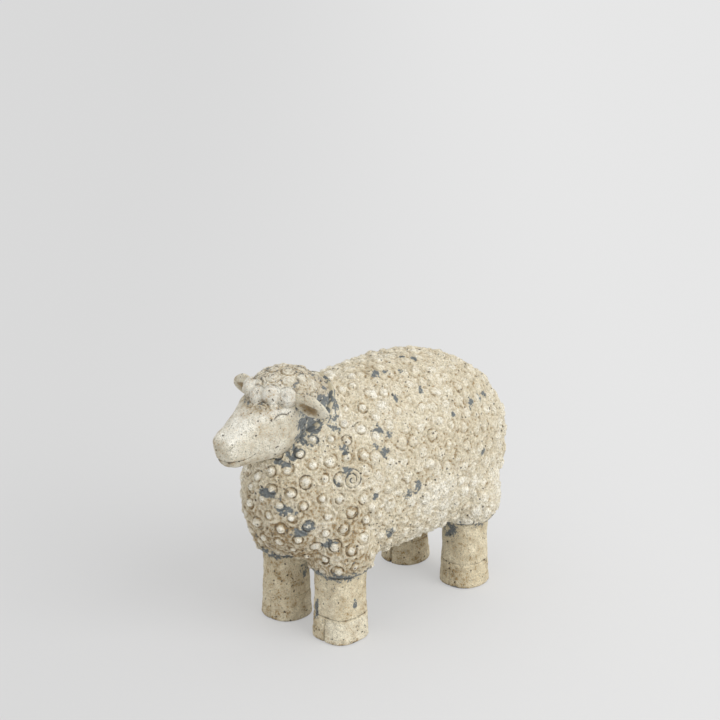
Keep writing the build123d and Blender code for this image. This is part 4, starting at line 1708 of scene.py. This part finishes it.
@dataclass
class Tail:
    """A short drop-shaped tail covered with curls."""

    root: Point = (0.0, 0.247, 0.292)
    length: float = 0.096
    width: float = 0.038
    thickness: float = 0.046
    shares: tuple[tuple[float, float], ...] = (
        (0.00, 0.24), (0.10, 0.62), (0.32, 0.90), (0.62, 1.00), (0.88, 0.68), (1.00, 0.24),
    )
    narrowing: Point = (0.92, 1.0, 1.0)
    voxel: float = 0.0012
    style: CurlStyle = CurlStyle(0.0160, 0.0160, 0.0100, 0.0100, 0.0024, 0.0012, 0.55, 0.0006, 0.0040, 8)

    def make(self, curls: CurlTree, finish: bpy.types.Material) -> None:
        """Builds the tail.

        Args:
            curls: the tree that raises the curls.
            finish: the material.
        """
        turns = full_turn(64)
        places = np.linspace(0.0, 1.0, 40)
        rings = []
        for place, (wide,) in zip(places, follow(self.shares, places)):
            x = wide * self.width / 2 * np.cos(turns)
            y = self.root[1] + wide * self.thickness / 2 * np.sin(turns)
            z = np.full_like(turns, self.root[2] - self.length * place)
            rings.append(np.stack((x, y, z), axis=1))
        piece = build("tail_wash", tube(np.array(rings)))
        merge(piece, self.voxel, 3)
        points = coordinates(piece)
        move(piece, points * np.array(self.narrowing))
        store(piece, "wool", np.ones(len(points)))
        store(piece, "crisp", np.zeros(len(points)))
        for name in ("bare", "crease", "grime"):
            store(piece, name, np.zeros(len(points)))
        curls.apply(piece, self.style, finish)
        declare(piece, Slot.FLEECE, "tail")


@dataclass(frozen=True)
class Studio:
    """Pale floor, soft light from the right and the camera of the photograph."""

    camera_place: Point = (2.2313, -2.3493, 1.5501)
    camera_forward: Point = (-0.6465, 0.6820, -0.3418)
    lens: float = 124.14
    sensor: float = 36.0
    floor_half: float = 30.0
    # Floor tones at the left and right: a painted falloff of the light from the right.
    floor_left: Colour = linear(214, 214, 214)
    floor_right: Colour = linear(227, 227, 227)
    floor_reach: float = 0.55
    key_way: Point = (-0.80, -0.10, -0.62)
    key_angle: float = 45.0
    key_strength: float = 1.25
    sky: float = 0.80
    floor_glow: float = 0.5
    glow_strength: float = 1.03

    def make(self) -> None:
        """Builds floor, lights, world and camera."""
        scene = bpy.context.scene
        scene.view_settings.view_transform = "Standard"
        half = self.floor_half
        floor = bpy.data.meshes.new("floor")
        corners = [(-half, -half, 0), (half, -half, 0), (half, half, 0), (-half, half, 0)]
        floor.from_pydata(corners, [], [(0, 1, 2, 3)])
        ground = bpy.data.objects.new("floor", floor)
        scene.collection.objects.link(ground)
        material = bpy.data.materials.new("studio floor")
        material.use_nodes = True
        net = Net(material.node_tree)
        shader = material.node_tree.nodes["Principled BSDF"]
        # Painted light falloff: the floor runs from darker on the left, away from the light, to lighter on
        # the right.
        right = Vector(self.camera_forward).cross(Vector((0.0, 0.0, 1.0))).normalized()
        across = net.node("ShaderNodeTexCoord", output="Object").dot(tuple(right))
        share = across.step(-self.floor_reach, self.floor_reach)
        tone = net.mix(self.floor_left, self.floor_right, share)
        net.feed(shader.inputs["Base Color"], tone)
        shader.inputs["Roughness"].default_value = 1.0
        shader.inputs["Specular IOR Level"].default_value = 0.0
        glow = net.node("ShaderNodeEmission", None, {"Color": tone, "Strength": self.glow_strength})
        path = net.node("ShaderNodeLightPath", output="Is Camera Ray")
        seen = path + path.other("Is Glossy Ray") + path.other("Is Transmission Ray")
        seen = seen.at_most(1.0) * self.floor_glow
        lit = Socket(net, shader.outputs["BSDF"])
        mixed = net.node("ShaderNodeMixShader", None, {"Fac": seen, 1: lit, 2: glow})
        net.feed(material.node_tree.nodes["Material Output"].inputs["Surface"], mixed)
        floor.materials.append(material)
        self.light()
        world = bpy.data.worlds.new("studio sky")
        scene.world = world
        world.use_nodes = True
        backdrop = world.node_tree.nodes["Background"]
        backdrop.inputs["Color"].default_value = (1.0, 1.0, 1.0, 1.0)
        backdrop.inputs["Strength"].default_value = self.sky
        lens = bpy.data.cameras.new("camera")
        lens.lens = self.lens
        lens.sensor_width = self.sensor
        lens.clip_end = 100.0
        eye = bpy.data.objects.new("camera", lens)
        eye.location = self.camera_place
        eye.rotation_euler = Vector(self.camera_forward).to_track_quat("-Z", "Y").to_euler()
        scene.collection.objects.link(eye)
        scene.camera = eye

    def light(self) -> None:
        """Adds the wide soft light from the right."""
        lamp = bpy.data.lights.new("key", "SUN")
        lamp.angle = math.radians(self.key_angle)
        lamp.energy = self.key_strength
        holder = bpy.data.objects.new("key", lamp)
        holder.rotation_euler = Vector(self.key_way).to_track_quat("-Z", "Y").to_euler()
        bpy.context.scene.collection.objects.link(holder)


def dress_kept_nodes() -> None:
    """Gives the mortar, rods and wires kept from the construction model their materials."""
    mortar = MORTAR_FINISH.make()
    steel = STEEL_FINISH.make()
    for name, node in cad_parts.items():
        if "mortar" in name or name == "seam_band":
            finish = mortar
        elif "rod" in name or "wire" in name:
            finish = steel
        else:
            continue
        for holder in node.material_slots:
            holder.material = finish
        LOG.info("%s: kept from the construction model", name)


def main() -> None:
    """Builds every piece."""
    logging.basicConfig(level=logging.INFO, format="%(name)s %(message)s")
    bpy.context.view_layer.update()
    # Per leg: the extra darkening is brown stain with painted shade, most on the right legs standing in shade
    # and less on the lit rear left leg; the hoof's highlight is painted; the hoof line's darkness is painted
    # shade; the front right leg's inner strip is grey bare wash with painted shade between the front legs.
    legs = {
        Corner.FRONT_LEFT: Leg(
            Corner.FRONT_LEFT, 0.053, -0.091, line_tone=0.7, age=0.15,
            strips=(
                ((-0.016, -0.033, 0.046), (0.007, 0.010, 0.018), 0.85),
                ((0.032, -0.004, 0.058), (0.010, 0.005, 0.012), 0.75),
                ((0.030, -0.030, 0.084), (0.020, 0.020, 0.010), 0.45),
            ),
        ),
        Corner.FRONT_RIGHT: Leg(
            Corner.FRONT_RIGHT, -0.053, -0.091, half_width=0.0322, squareness=2.35, cleft_depth=0.0012,
            line_tone=0.3, age=0.6, hoof_chalk=0.1,
            strips=(((0.032, 0.004, 0.080), (0.010, 0.012, 0.030), 0.55),),
        ),
        Corner.REAR_LEFT: Leg(
            Corner.REAR_LEFT, 0.0585, 0.165, half_width=0.0322, squareness=2.35, cleft_depth=0.0012,
            line_tone=0.5, age=-0.15, hoof_chalk=-0.5,
            strips=(((-0.004, -0.032, 0.092), (0.022, 0.012, 0.026), 0.62),),
        ),
        Corner.REAR_RIGHT: Leg(
            Corner.REAR_RIGHT, -0.0585, 0.165, half_width=0.0322, squareness=2.35, age=0.3, hoof_chalk=0.0,
        ),
    }
    curls = CurlTree()
    fleece = FLEECE_FINISH.make()
    FleeceBody().make(curls, fleece, legs)
    Tail().make(curls, fleece)
    face = FACE_FINISH.make()
    Head().make(curls, face)
    for side in Side:
        Ear(side).make(face)
    leg_finish = LEG_FINISH.make()
    for leg in legs.values():
        leg.make(leg_finish)
    dress_kept_nodes()
    Studio().make()


if __name__ == "__main__":
    main()
